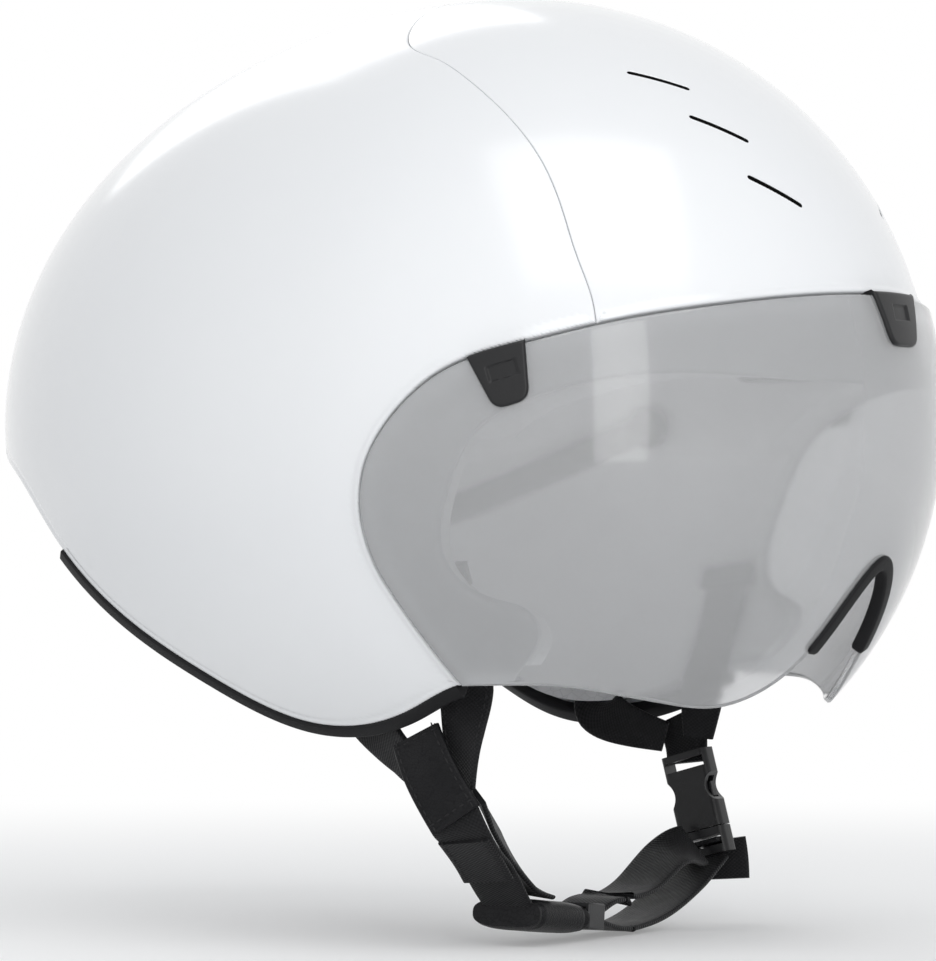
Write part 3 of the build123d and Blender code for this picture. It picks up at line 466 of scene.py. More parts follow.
def panel(name, outline, kinds, toward, outer, inner, cuts=(), grid=0.003,
          rows=(0.0001, 0.00025, 0.00045, 0.0007, 0.0011, 0.0015, 0.0019, 0.0024, 0.0031)):
    """A thin moulded panel on the egg: its outline, its holes, and the reach of its two faces.

    The outer face's reach comes from each point's distance to the nearest edge and that edge's
    kind. The inner face's comes from them too, or is one number.
    """
    lay, lift = flat_map(toward)
    rings = [(outline, kinds)] + [(cut, np.array(["cut"] * len(cut))) for cut in cuts]
    edge_ways = np.vstack([ways for ways, _ in rings])
    edge_kinds = np.concatenate([kind for _, kind in rings])
    finder = KDTree(len(edge_ways))
    for i, spot in enumerate(on_egg(edge_ways)):
        finder.insert(spot, i)
    finder.balance()

    def distances(ways):
        found = [finder.find(spot) for spot in on_egg(ways)]
        return np.array([f[2] for f in found]), edge_kinds[[f[1] for f in found]]

    flats = [lay(ways) for ways, _ in rings]
    wires, start = [], 0
    for flat in flats:
        wires += [(start + i, start + (i + 1) % len(flat)) for i in range(len(flat))]
        start += len(flat)
    inner_points = []
    for ways, _ in rings:
        for row, distance in enumerate(rows):
            for turn in (1, -1):
                moved = beside(ways, turn * distance)
                moved = moved[(row % 2)::2] if distance > ring_step else moved
                inner_points.append(moved[distances(moved)[0] > row_clearance * distance])
    low, high = flats[0].min(axis=0), flats[0].max(axis=0)
    pace = grid / egg_mean
    lattice = np.array([
        (x + (j % 2) * pace / 2, y)
        for j, y in enumerate(np.arange(low[1], high[1], pace * lattice_row))
        for x in np.arange(low[0], high[0], pace)
    ])
    lattice = lift(lattice)
    inner_points.append(lattice[distances(lattice)[0] > rows[-1] + lattice_clearance * grid])
    extra = lay(np.vstack(inner_points))
    extra = extra[enclosed(extra, flats[0])]
    for flat in flats[1:]:
        extra = extra[~enclosed(extra, flat)]
    flat_all = np.vstack(flats + [extra])
    corners, _, faces, _, _, _ = delaunay_2d_cdt([Vector(p) for p in flat_all], wires, [], 1, 1e-9)
    corners = np.array([tuple(c) for c in corners])
    faces = np.array([tuple(f) for f in faces])
    for flat in flats[1:]:
        faces = faces[~enclosed(corners[faces].mean(axis=1), flat)]
    ways = lift(corners)
    far_off, near_kind = distances(ways)
    top = on_egg(ways, outer(far_off, near_kind, ways))
    bottom = on_egg(ways, inner(far_off, near_kind, ways) if callable(inner) else inner)
    a, b, c = (top[faces[:, i]] for i in range(3))
    turned = np.einsum("ij,ij->i", np.cross(b - a, c - a), a + b + c - (0, 0, 3 * egg_level)) < 0
    faces[turned] = faces[turned][:, ::-1]
    sides = np.vstack((faces[:, (0, 1)], faces[:, (1, 2)], faces[:, (2, 0)]))
    seen = {(int(i), int(j)) for i, j in sides}
    walls = [(i, j) for i, j in seen if (j, i) not in seen]
    size = len(corners)
    all_faces = [tuple(map(int, f)) for f in faces]
    all_faces += [(int(f[2]) + size, int(f[1]) + size, int(f[0]) + size) for f in faces]
    all_faces += [(j, i, i + size, j + size) for i, j in sorted(walls)]
    return placed(name, mesh_of(name, np.vstack((top, bottom)), all_faces), 50)


def placed(name, mesh, crease=35, turned=False, weld=0.0):
    """A new piece from a mesh, smooth up to a crease angle, without stray points.

    Its points are welded first and its faces turned outwards, where that is asked for.
    """
    net = bmesh.new()
    net.from_mesh(mesh)
    if weld:
        bmesh.ops.remove_doubles(net, verts=net.verts, dist=weld)
    if turned:
        bmesh.ops.recalc_face_normals(net, faces=net.faces)
    bmesh.ops.delete(net, geom=[v for v in net.verts if not v.link_faces], context="VERTS")
    net.to_mesh(mesh)
    net.free()
    mesh.validate()
    for face in mesh.polygons:
        face.use_smooth = True
    mesh.set_sharp_from_angle(angle=math.radians(crease))
    return shown(name, mesh)


def belongs(piece, paint, body, slot, *nodes):
    """Gives a piece its material and its body where it moves with one alone, and hides the solids it stands
    for.
    """
    piece.data.materials.clear()
    piece.data.materials.append(paint)
    if body:
        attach(piece, body)
    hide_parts(*nodes)


def rounded(distance, radius):
    """How far a rounded edge of that radius lies below the face, at a distance from the edge."""
    near = np.clip(radius - distance, 0, radius)
    return radius - np.sqrt(np.maximum(radius ** 2 - near ** 2, 0))


def falling(distance, start, end):
    """One before start, nothing after end, and a smooth fall between them."""
    t = np.clip((distance - start) / (end - start), 0, 1)
    return 1 - t * t * (3 - 2 * t)


def shell_outside(distance, kind, ways):
    """Reach of the shell's face: a raised lip at the visor, a fine groove at the rim, round edges."""
    lip = np.where(kind == "edge", lip_height * falling(distance, lip_start, lip_end), 0.0)
    dip = -groove_depth * np.exp(-((distance - groove_inset) / groove_width) ** 2)
    groove = np.where(kind == "rim", dip, 0.0)
    radius = np.where(kind == "edge", edge_round, np.where(kind == "rim", rim_round, seam_round))
    return lip + groove - rounded(distance, radius)


def slot_ring(middle, along, normal, length, width, count=10):
    """A narrow slot with round ends, laid on the egg."""
    across = normal.cross(along).normalized()
    half = (length - width) / 2
    turns = np.linspace(-math.pi / 2, math.pi / 2, count)
    flat = [(half + width / 2 * math.cos(t), width / 2 * math.sin(t)) for t in turns]
    flat += [(-x, -y) for x, y in flat]
    straight = []
    for (x1, y1), (x2, y2) in zip(flat, flat[1:] + flat[:1]):
        steps = max(int(math.hypot(x2 - x1, y2 - y1) / ring_step), 1)
        straight += [(x1 + (x2 - x1) * i / steps, y1 + (y2 - y1) * i / steps) for i in range(steps)]
    spots = np.array([middle + along * x + across * y for x, y in straight])
    return egg_ways(spots)


def front_way(x, z, side=1):
    """Direction on the front of the egg from shares seen from the front."""
    return np.array([(side * x, -math.sqrt(max(1 - x * x - z * z, 0)), z)])


slot_rings, slot_spots = [], []
for outer_end, inner_end in air_slots:
    for side in (-1, 1):
        ends = [Vector(on_egg(front_way(x, z, side))[0]) for x, z in (outer_end, inner_end)]
        middle = (ends[0] + ends[1]) / 2
        way = way_to(middle)
        spot = Vector(on_egg(way)[0])
        normal = straight_out(way)
        along = ends[1] - ends[0]
        along = (along - normal * along.dot(normal)).normalized()
        slot_rings.append(slot_ring(spot, along, normal, air_slot_length, air_slot_width))
        slot_spots.append(spot)

seam_front, seam_rear = seam_curve(seam_half), seam_curve(-seam_half)
edge, rim = edge_curve(), rim_curve()
corner_front, at_edge, at_seam = meeting(edge, seam_front)
front_edge = onward(corner_front, edge, at_edge)
front_seam = onward(corner_front, seam_front, at_seam)
front_outline, front_kinds = ring((
    (front_edge, "edge"), (mirrored(front_edge), "edge"),
    (front_seam * (-1, 1, 1), "seam"), (mirrored(front_seam * (-1, 1, 1)), "seam"),
))
corner_rear, at_edge, at_seam = meeting(edge, seam_rear)
corner_rim, at_rim, at_cheek = meeting(rim, edge)
rear_edge = lifted(np.vstack((corner_rim, edge[at_cheek + 1:at_edge + 1], corner_rear)))
rear_seam = onward(corner_rear, seam_rear, at_seam)
rear_rim = lifted(to_middle(np.vstack((corner_rim, rim[:at_rim + 1][::-1]))))
rear_outline, rear_kinds = ring((
    (rear_edge, "edge"), (rear_seam, "seam"), (mirrored(rear_seam), "seam"), (mirrored(rear_edge), "edge"),
    (rear_rim * (-1, 1, 1), "rim"), (mirrored(rear_rim * (-1, 1, 1)), "rim"),
))
front_pole, rear_pole = (0, -0.5, 0.85), (0, 0.6, 0.45)
lay_front = flat_map(front_pole)[0]
in_front = [hole for hole in slot_rings if enclosed(lay_front(hole[:1]), lay_front(front_outline))[0]]
gloss_white = moulded("gloss_white_shell", shell_shade, shell_white, (0.16, 0.24), 900.0, 0.02, 9.0, coat=0.7)
front_panel = panel("front_panel", front_outline, front_kinds, front_pole, shell_outside, -shell_wall,
                    in_front, rows=shell_rows)
belongs(front_panel, gloss_white, "helmet", "shell", "shell_front_panel")
# Painted shade: the walls of the air slots through the front panel get a near-black colour that stands in for
# the dark behind the slots.
slot_shade_dark, slot_shade_light = (0.004, 0.004, 0.004, 1), (0.008, 0.008, 0.008, 1)
painted_slot_shade = moulded("painted_slot_shade", slot_shade_dark, slot_shade_light, (0.8, 0.9), 900.0, 0.05, specular=0.1)
front_panel.data.materials.append(painted_slot_shade)
for face in front_panel.data.polygons:
    if min((face.center - spot).length for spot in slot_spots) < air_slot_length * slot_wall_reach:
        depth = (face.center - Vector(on_egg(way_to(face.center))[0])).length
        if slot_wall_top < depth < slot_wall_foot:
            face.material_index = 1
rear_panel = panel("rear_panel", rear_outline, rear_kinds, rear_pole, shell_outside, -shell_wall,
                   rows=shell_rows)
belongs(rear_panel, gloss_white, "helmet", "shell", "shell_rear_panel")


# The rubber trim: a black moulded channel pushed over the shell's lower edge on either side,
# from beside the visor back to the rise of the tail. It hides the joint between shell and foam.
trim_height, trim_out, trim_in, trim_lap = 0.0040, 0.0009, 0.0040, 0.0005
trim_end, trim_step, trim_taper = 0.648, 0.0016, 0.0012
rubber_black = moulded("trim_rubber", black(0.004), black(0.010), (0.42, 0.6), 2600.0, 0.25, specular=0.18)


def tube(count, size):
    """The faces of a closed tube made of a count of rings, each with a size in points."""
    return [
        (i * size + j, i * size + (j + 1) % size, (i + 1) * size + (j + 1) % size, (i + 1) * size + j)
        for i in range(count - 1) for j in range(size)
    ] + [tuple(range(size))[::-1], tuple(range((count - 1) * size, count * size))]


def swept(name, ways, profile, taper):
    """A moulding along a line of the egg: its profile is given as reach and height above the line."""
    spots = on_egg(ways)
    along = unit(np.gradient(spots, axis=0))
    up = unit(np.cross(unit(ways / half_sizes(ways, 0.0)), along))
    out = np.cross(along, up)
    run = run_along(spots)
    profile = np.array(profile)
    middle = profile.mean(axis=0)
    points = []
    for i in range(len(spots)):
        near = min(run[i], run[-1] - run[i])
        size = 1.0 if near >= taper else math.sqrt(max(1 - (1 - near / taper) ** 2, 0.02))
        for reach, height in middle + (profile - middle) * size:
            points.append(spots[i] + out[i] * reach + up[i] * height)
    return placed(name, mesh_of(name, points, tube(len(spots), len(profile))), 40, turned=True)


def round_box(low_x, low_y, high_x, high_y, radius, steps=4):
    """The outline of a rectangle with round corners."""
    points = []
    for x, y, start in ((high_x - radius, high_y - radius, 0), (low_x + radius, high_y - radius, 90),
                        (low_x + radius, low_y + radius, 180), (high_x - radius, low_y + radius, 270)):
        for i in range(steps + 1):
            turn = math.radians(start + 90 * i / steps)
            points.append((x + radius * math.cos(turn), y + radius * math.sin(turn)))
    return points


trim_line = np.vstack((rim[:at_rim + 1], corner_rim))
trim_line = trim_line[trim_line[:, 0] < trim_end]
for side, name in ((1, "left"), (-1, "right")):
    trim_ways = evenly(lifted(trim_line, side), trim_step)
    trim_box = round_box(-trim_in, -trim_lap, trim_out, trim_height - 0.0003, 0.0007)
    trim = swept("trim_" + name, trim_ways, [(x, side * y) for x, y in trim_box], trim_taper)
    belongs(trim, rubber_black, "helmet", "rubber", "rim_trim_" + name)


# The foam liner: one block of expanded foam between the shell and the head, hollowed for the
# head, the ears and the air ducts. It is moulded from small beads that show on its surface.
bead_light, bead_dark = (0.84, 0.84, 0.85, 1), (0.70, 0.70, 0.71, 1)
bead_size, duct_shade_reach = 0.0032, 0.015
weld_distance = 0.000004


def beaded(name, dark, light, size, ducts, duct_reach):
    """Expanded foam: packed beads with darker joints, and a near-black painted shade in the ducts near some
    points.
    """
    add, shades, dress = material(name)
    place = add("TexCoord").outputs["Object"]
    packing = {"Vector": place, "Scale": 1.0 / size, "Randomness": 1.0}
    beads = add("TexVoronoi", packing, feature="F1")
    joints = add("TexVoronoi", packing, feature="DISTANCE_TO_EDGE")
    seam = add("MapRange", {"Value": joints.outputs["Distance"], "From Max": 0.08})
    cloud = add("TexNoise", {"Vector": place, "Scale": 30.0, "Detail": 3.0})
    shade = add("Math", {0: seam, 1: cloud.outputs["Fac"]}, operation="MULTIPLY")
    bright = add("MapRange", {"Value": shade, "From Max": 0.6})
    apart = add("SeparateXYZ", {"Vector": place})
    aside = add("Math", {0: apart.outputs["X"]}, operation="ABSOLUTE")
    folded = add("CombineXYZ", {"X": aside, "Y": apart.outputs["Y"], "Z": apart.outputs["Z"]})
    gaps = [
        add("VectorMath", {0: folded, 1: tuple(duct)}, operation="DISTANCE").outputs["Value"]
        for duct in ducts
    ]
    nearest = gaps[0]
    for gap in gaps[1:]:
        nearest = add("Math", {0: nearest, 1: gap}, operation="MINIMUM")
    outside = add("MapRange", {"Value": nearest, "From Min": duct_reach * 0.85, "From Max": duct_reach})
    dome = add("MapRange", {
        "Value": beads.outputs["Distance"], "From Max": 0.7, "To Min": 1.0, "To Max": 0.0,
    })
    relief = add("Bump", {"Height": dome, "Strength": 0.35, "Distance": 0.0004})
    foam_colour = shades(bright, dark, light)
    # Painted shade: near the duct points the foam takes the slots' near-black colour.
    return dress(Base_Color=shades(outside, slot_shade_dark, foam_colour), Normal=relief,
                 Roughness=0.82)


def smooth_copy(name, node, crease=32, bevel=0.0):
    """A piece with the shape of a plain solid, its loose triangles joined and its curves smoothed."""
    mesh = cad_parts[node].data.copy()
    mesh.name = name
    joined = bmesh.new()
    joined.from_mesh(mesh)
    bmesh.ops.remove_doubles(joined, verts=joined.verts, dist=weld_distance)
    if bevel:
        bmesh.ops.dissolve_limit(joined, angle_limit=math.radians(2), verts=joined.verts, edges=joined.edges)
    joined.to_mesh(mesh)
    joined.free()
    mesh.materials.clear()
    piece = placed(name, mesh, crease)
    if bevel:
        round_off = piece.modifiers.new("rounded edges", "BEVEL")
        round_off.width = bevel
        round_off.segments = 2
        round_off.limit_method = "ANGLE"
        round_off.angle_limit = math.radians(35)
        round_off.harden_normals = False
    return piece


# The points round which the foam gets its painted duct shade: the air slots on one side, folded to both.
duct_spots = [spot for spot in slot_spots if spot.x > 0]
liner_foam = beaded("liner_foam", bead_dark, bead_light, bead_size, duct_spots, duct_shade_reach)
belongs(smooth_copy("liner", "foam_liner"), liner_foam, "helmet", "foam", "foam_liner")


# The visor's seat: a satin frame, stepped in behind the visor from under the shell to the edge
# of the face opening. Three steel discs in it hold the visor's magnets.
seat_reach, seat_wall, seat_tuck = -0.0025, 0.003, 0.005
seat_lip_round, seat_round = 0.0014, 0.0004
seat_line = (
    (-0.24, -0.80), (-0.349, -0.628), (-0.411, -0.562), (-0.438, -0.512), (-0.43, -0.471), (-0.38, -0.446),
    (-0.322, -0.417), (-0.287, -0.369), (-0.284, -0.273), (-0.318, -0.165), (-0.378, -0.054), (-0.478, 0.013),
    (-0.624, 0.06), (-0.787, 0.075), (-0.88, 0.068),
)
seat_front_end = (-1.16, 0.045)
seat_grey = moulded("satin_seat", (0.50, 0.51, 0.52, 1), (0.58, 0.59, 0.60, 1), (0.32, 0.45), 1500.0, 0.08)
seat_metres = side_metres(seat_line)
seat_tip = side_metres((seat_front_end,))[0]
seat_curve = side_shares(np.vstack((flow(seat_metres), flow((seat_metres[-1], seat_tip), count=160)[1:])),
                         seat_reach)
tucked_edge = edge_curve(-seat_tuck, seat_reach)
seat_rim = rim_curve(seat_reach)
seat_foot, seat_at_rim, rim_at_seat = meeting(seat_curve, seat_rim)
tuck_foot, tuck_at_rim, rim_at_tuck = meeting(tucked_edge, seat_rim)
seat_front = onward(seat_foot, seat_curve, seat_at_rim)
seat_back = onward(tuck_foot, tucked_edge, tuck_at_rim)
seat_bottom = lifted(np.vstack((tuck_foot, seat_rim[rim_at_tuck + 1:rim_at_seat + 1], seat_foot)))
seat_outline, seat_kinds = ring((
    (seat_front, "lip"), (mirrored(seat_front), "lip"), (mirrored(seat_bottom), "foot"),
    (seat_back * (-1, 1, 1), "tuck"), (mirrored(seat_back * (-1, 1, 1)), "tuck"), (seat_bottom, "foot"),
))


def seat_outside(distance, kind, ways):
    return seat_reach - rounded(distance, np.where(kind == "lip", seat_lip_round, seat_round))


seat = panel("seat_frame", seat_outline, seat_kinds, (0, -1, -0.2), seat_outside, seat_reach - seat_wall)
belongs(seat, seat_grey, "helmet", "seat", "visor_seat")
steel_dark, steel_light = (0.42, 0.42, 0.43, 1), (0.56, 0.56, 0.57, 1)
brushed_steel = moulded("brushed_steel", steel_dark, steel_light, (0.22, 0.38), 1800.0, 0.1, metal=1.0)
seat_discs = smooth_copy("seat_discs", "seat_magnets", bevel=0.0002)
belongs(seat_discs, brushed_steel, "helmet", "steel", "seat_magnets")


# The visor: one curved sheet of smoke-tinted plastic with a lobe below each eye and a notch for
# the nose. It stands a little proud of the shell and lifts off forwards.
visor_reach, visor_wall, visor_gap = 0.0025, 0.0022, 0.0012
visor_round, visor_back_round = 0.0007, 0.0005
nose_line = ((0.0, -0.345), (0.065, -0.388), (0.107, -0.463), (0.141, -0.554))
lobe_line = (
    (0.141, -0.554), (0.194, -0.636), (0.287, -0.686), (0.435, -0.681), (0.569, -0.655), (0.667, -0.637),
    (0.787, -0.64), (1.2, -0.66),
)


def front_metres(shares):
    """Points seen from the front, in metres from the egg's middle."""
    return np.array([(x * egg_half_width, z * (egg_up if z > 0 else egg_down)) for x, z in shares])


def front_run(line, reach=0.0):
    """Directions on the front of the egg from a line seen from the front, in metres."""
    x = line[:, 0] / (egg_half_width + reach)
    z = line[:, 1] / (np.where(line[:, 1] > 0, egg_up, egg_down) + reach)
    return np.column_stack((x, -np.sqrt(np.clip(1 - x * x - z * z, 0, None)), z))


nose_metres, lobe_metres = front_metres(nose_line), front_metres(lobe_line)
leg_way = nose_metres[-1] - nose_metres[-2]
nose_run = flow(nose_metres, (1, 0), leg_way, 240)
lobe_run = flow(lobe_metres, leg_way, lobe_metres[-1] - lobe_metres[-2], 500)
visor_edge = lifted(edge_curve(visor_gap, visor_reach))
lobe_shares = lobe_run / (egg_half_width + visor_reach, egg_down + visor_reach)
lobe_foot, lobe_at, edge_at = meeting(lobe_shares, visor_edge[:, (0, 2)])
foot_way = np.array([(lobe_foot[0], -math.sqrt(1 - lobe_foot[0] ** 2 - lobe_foot[1] ** 2), lobe_foot[1])])
visor_side = np.vstack((foot_way, lifted(to_middle(edge_curve(visor_gap, visor_reach)[edge_at + 1:]))))
visor_lobe = np.vstack((front_run(lobe_run[:lobe_at + 1], visor_reach), foot_way))
visor_nose = front_run(nose_run, visor_reach)
visor_outline, visor_kinds = ring((
    (visor_side, "edge"), (mirrored(visor_side), "edge"), (mirrored(visor_lobe), "lobe"),
    (mirrored(visor_nose), "nose"), (visor_nose, "nose"), (visor_lobe, "lobe"),
))


def smoked(name, tint):
    """Clear smoke-tinted sheet with a faint cloudiness."""
    add, shades, dress = material(name)
    place = add("TexCoord").outputs["Object"]
    cloud = add("TexNoise", {"Vector": place, "Scale": 14.0, "Detail": 2.0})
    haze = add("TexNoise", {"Vector": place, "Scale": 700.0, "Detail": 2.0})
    rough = add("MapRange", {"Value": haze.outputs["Fac"], "To Min": 0.06, "To Max": 0.08})
    light_tint = tuple(min(1.0, v * 1.05) for v in tint[:3]) + (1,)
    return dress(Base_Color=shades(cloud.outputs["Fac"], tint, light_tint), Roughness=rough,
                 IOR=1.6, Transmission_Weight=0.71)


def visor_outside(distance, kind, ways):
    return visor_reach - rounded(distance, visor_round)


def visor_inside(distance, kind, ways):
    return visor_reach - visor_wall + rounded(distance, visor_back_round)


smoke = smoked("smoke_sheet", (0.74, 0.745, 0.755, 1))
visor = panel("visor_sheet", visor_outline, visor_kinds, (0, -1, -0.1), visor_outside, visor_inside)
belongs(visor, smoke, "visor", "lens", "visor_lens")


# The nose strip: a soft rubber edge that keeps the visor's notch from rubbing the nose. It is
# slit along its length, pushed over the sheet's edge, and lifts off with the visor.
nose_rubber = moulded("nose_rubber", black(0.005), black(0.014), (0.45, 0.65), 2200.0, 0.2, specular=0.18)
half_nose = front_run(nose_run)
whole_nose = evenly(np.vstack((mirrored(half_nose), half_nose[1:])), 0.0010)
nose_strip = swept("nose_strip", whole_nose, round_box(-0.0006, -0.0023, 0.0034, 0.0023, 0.0009), 0.0022)
belongs(nose_strip, nose_rubber, "visor", "rubber", "nose_seal")


# The magnet holders: three black moulded clips that grip the visor's top edge and lap over its
# face, each with a shallow window and a disc magnet on its back.
clip_height, clip_foot, clip_corner = 0.016, 0.6, 0.0035
clip_reach, clip_back, clip_round, clip_gap = 0.0037, -0.0016, 0.0009, 0.0003
window_length, window_width, window_depth, window_level, window_slope = 0.0085, 0.0046, 0.0006, 0.4, 0.0005
clip_near, clip_deep = 0.01, 0.02
centre_height = 0.268
side_clip_ends = ((-0.38, 0.106), (-0.476, 0.14))
clip_black = moulded("clip_plastic", black(0.008), black(0.02), (0.28, 0.42), 1900.0, 0.12, specular=0.28)


def clip_frame(side):
    """Middle of a holder's top edge on the egg, with its directions across, up and out."""
    if side == 0:
        way = front_way(0.0, centre_height)
        across = Vector((1, 0, 0))
    else:
        rear, fore = [Vector(on_egg(lifted(np.array([end]), side))[0]) for end in side_clip_ends]
        way = way_to((rear + fore) / 2)
        across = (rear - fore) * side
    out = straight_out(way)
    across = (across - out * across.dot(out)).normalized()
    return Vector(on_egg(way)[0]), across, out.cross(across), out


for side, name, width in ((-1, "right", 0.0165), (0, "centre", 0.024), (1, "left", 0.0165)):
    origin, across, up, out = clip_frame(side)
    start, axes = np.array(origin), np.array((across, up, out)).T
    foot = width * clip_foot / 2
    corners = np.array([(-width / 2, 0.0), (-foot, -clip_height), (foot, -clip_height), (width / 2, 0.0)])
    outline = [corners[0]]
    for before, corner, after in zip(corners, corners[1:], corners[2:]):
        first, last = (
            corner + (end - corner) / np.linalg.norm(end - corner) * clip_corner for end in (before, after)
        )
        outline += [
            (1 - t) ** 2 * first + 2 * t * (1 - t) * corner + t * t * last for t in np.linspace(0, 1, 7)
        ]
    outline.append(corners[3])
    sides_run = egg_ways(np.array([tuple(origin + across * x + up * y) for x, y in outline]))
    edge_run = lifted(to_middle(edge_curve(clip_gap)), side or 1)
    if side == 0:
        edge_run = np.vstack((edge_run, mirrored(edge_run)[1:]))
    edge_x, edge_y, edge_z = ((on_egg(edge_run) - start) @ axes).T
    close = (np.abs(edge_y) < clip_near) & (np.abs(edge_z) < clip_deep)
    on_top = close & (np.abs(edge_x) < width / 2)
    top_run = edge_run[on_top][np.argsort(edge_x[on_top])][::-1]
    clip_outline, clip_kinds = ring((
        (sides_run, "side"), (np.vstack((sides_run[-1:], top_run, sides_run[:1])), "top"),
    ), 0.0008)

    def clip_outside(distance, kind, ways, start=start, axes=axes):
        x, y, _ = ((on_egg(ways) - start) @ axes).T
        past_x = np.abs(x) - window_length / 2
        past_y = np.abs(y + clip_height * window_level) - window_width / 2
        window = window_depth * falling(np.maximum(past_x, past_y), -window_slope, 0.0)
        return clip_reach - rounded(distance, clip_round) - window

    clip = panel("clip_" + name, clip_outline, clip_kinds, way_to(origin)[0], clip_outside, clip_back,
                 grid=0.0004, rows=(0.0001, 0.00025, 0.00045, 0.0007, 0.001))
    belongs(clip, clip_black, "visor", "black_plastic", "visor_clip_" + name)
clip_discs = smooth_copy("clip_discs", "visor_magnets", bevel=0.0002)
belongs(clip_discs, brushed_steel, "visor", "steel", "visor_magnets")


# The pads: foam wrapped in grey knitted cloth, stuck inside the liner at the brow, the back of
# the head, the crown and the temples. Each is a low cushion with a seam round its edge.
head_half_width, head_half_length, head_dome, head_level = 0.076, 0.0975, 0.085, -0.085
pad_back, pad_seam, pad_face = 0.0056, 0.0040, 0.0003
crown_half_width, crown_half_length = 0.0115, 0.047
knit_dark, knit_light = (0.035, 0.036, 0.038, 1), (0.075, 0.076, 0.08, 1)


def knitted(name, dark, light, pitch):
    """Fine knitted cloth: small loops in rows, with fuzz that breaks the light."""
    add, shades, dress = material(name)
    place = add("TexCoord").outputs["Object"]
    loops = add("TexVoronoi", {"Vector": place, "Scale": 1.0 / pitch, "Randomness": 0.35}, feature="F1")
    rows = add("TexWave", {"Vector": place, "Scale": 0.35 / pitch, "Distortion": 1.2, "Detail": 2.0},
               bands_direction="Z")
    weave = add("Math", {0: loops.outputs["Distance"], 1: rows.outputs["Fac"]}, operation="ADD")
    tone = add("MapRange", {"Value": weave, "From Max": 1.4})
    relief = add("Bump", {"Height": weave, "Strength": 0.5, "Distance": 0.0003})
    return dress(Base_Color=shades(tone, dark, light), Normal=relief, Roughness=0.9,
                 Sheen_Weight=0.3, Sheen_Roughness=0.5)


def cushion(name, place, across, along, fullness=0.55):
    """A low closed cushion over a rectangle with soft corners; place maps u, v and depth to space."""
    u = np.linspace(-1, 1, across + 1)
    v = np.linspace(-1, 1, along + 1)
    grid_u, grid_v = np.meshgrid(u, v, indexing="ij")
    soft_u = grid_u * np.sqrt(1 - 0.10 * grid_v ** 8)
    soft_v = grid_v * np.sqrt(1 - 0.10 * grid_u ** 8)
    swell = ((1 - grid_u ** 6) * (1 - grid_v ** 6)) ** fullness
    groove = 1 - 0.16 * np.exp(-((np.maximum(np.abs(grid_u), np.abs(grid_v)) - 0.86) / 0.03) ** 2)
    face = pad_seam + (pad_face - pad_seam) * swell * groove
    back = pad_seam + (pad_back - pad_seam) * swell
    top, low = (
        [place(*spot) for spot in zip(soft_u.ravel(), soft_v.ravel(), depth.ravel())]
        for depth in (face, back)
    )
    size = len(top)
    wide = along + 1
    faces = []
    for i in range(across):
        for j in range(along):
            square = (i * wide + j, (i + 1) * wide + j, (i + 1) * wide + j + 1, i * wide + j + 1)
            faces.append(square)
            faces.append(tuple(k + size for k in square[::-1]))
    return placed(name, mesh_of(name, top + low, faces), 70, turned=True, weld=0.00001)


def head_wall(turn, z, depth):
    """A point of the head hollow's wall at a turn round the head and a height, sunk by a depth."""
    high = max(z - head_level, 0.0) / (head_dome + depth)
    ring_share = math.sqrt(max(1 - high * high, 0.0))
    return (math.sin(turn) * ring_share * (head_half_width + depth),
            -math.cos(turn) * ring_share * (head_half_length + depth), z)


def band_place(middle_turn, half_turn, middle_z, half_z):
    """Where a pad lies on a stretch of the head hollow's wall, for its cushion."""
    return lambda u, v, depth: head_wall(middle_turn + u * half_turn, middle_z + v * half_z, depth)


def crown_place(u, v, depth):
    """Where the crown's pad lies under the dome of the head hollow, for its cushion."""
    x, y = u * crown_half_width, v * crown_half_length
    flat = (x / (head_half_width + depth)) ** 2 + (y / (head_half_length + depth)) ** 2
    return x, y, head_level + (head_dome + depth) * math.sqrt(1 - flat)


pad_knit = knitted("pad_knit", knit_dark, knit_light, 0.0011)
for name, place, across, along, node in (
    ("brow_cushion", band_place(0.0, 1.235, -0.072, 0.0106), 90, 16, "brow_pad"),
    ("rear_cushion", band_place(math.pi, 1.235, -0.072, 0.0106), 90, 16, "rear_pad"),
    ("crown_cushion", crown_place, 20, 64, "crown_pad"),
    ("side_cushion_left", band_place(math.pi / 2, 0.272, -0.063, 0.0116), 36, 20, "side_pad_left"),
    ("side_cushion_right", band_place(-math.pi / 2, 0.272, -0.063, 0.0116), 36, 20, "side_pad_right"),
):
    pad = cushion(name, place, across, along)
    belongs(pad, pad_knit, "helmet", "pad", node)


# The fit system: a bowed nylon cradle behind the head, hung from two temple pins by flexible
# bands. A knob turns a small gear that draws the bands' toothed ends together.
nylon_black = moulded("fit_nylon", black(0.012), (0.03, 0.03, 0.032, 1), (0.35, 0.5), 1400.0, 0.12)
knob_grey = moulded("knob_plastic", (0.05, 0.05, 0.053, 1), (0.09, 0.09, 0.094, 1), (0.3, 0.45), 1600.0, 0.15)
screw_dark, screw_light = (0.2, 0.2, 0.21, 1), (0.34, 0.34, 0.35, 1)
screw_steel = moulded("screw_steel", screw_dark, screw_light, (0.25, 0.4), 2400.0, 0.1, metal=1.0)
for node, body, paint, slot, bevel in (
    ("cradle_yoke", "cradle", nylon_black, "black_plastic", 0.0005),
    ("cradle_housing", "cradle", nylon_black, "black_plastic", 0.0004),
    ("cradle_screws", "cradle", screw_steel, "steel", 0.0002),
    ("dial_knob", "dial", knob_grey, "dial_plastic", 0.0003),
    ("dial_pinion", "dial", knob_grey, "dial_plastic", 0.0),
    ("dial_screw", "dial", screw_steel, "steel", 0.0002),
    ("band_rack_left", "left_rack", nylon_black, "black_plastic", 0.0),
    ("band_rack_right", "right_rack", nylon_black, "black_plastic", 0.0),
    ("pivot_pin_left", "helmet", nylon_black, "black_plastic", 0.0003),
    ("pivot_pin_right", "helmet", nylon_black, "black_plastic", 0.0003),
):
    belongs(smooth_copy(node + "_fine", node, bevel=bevel), paint, body, slot, node)
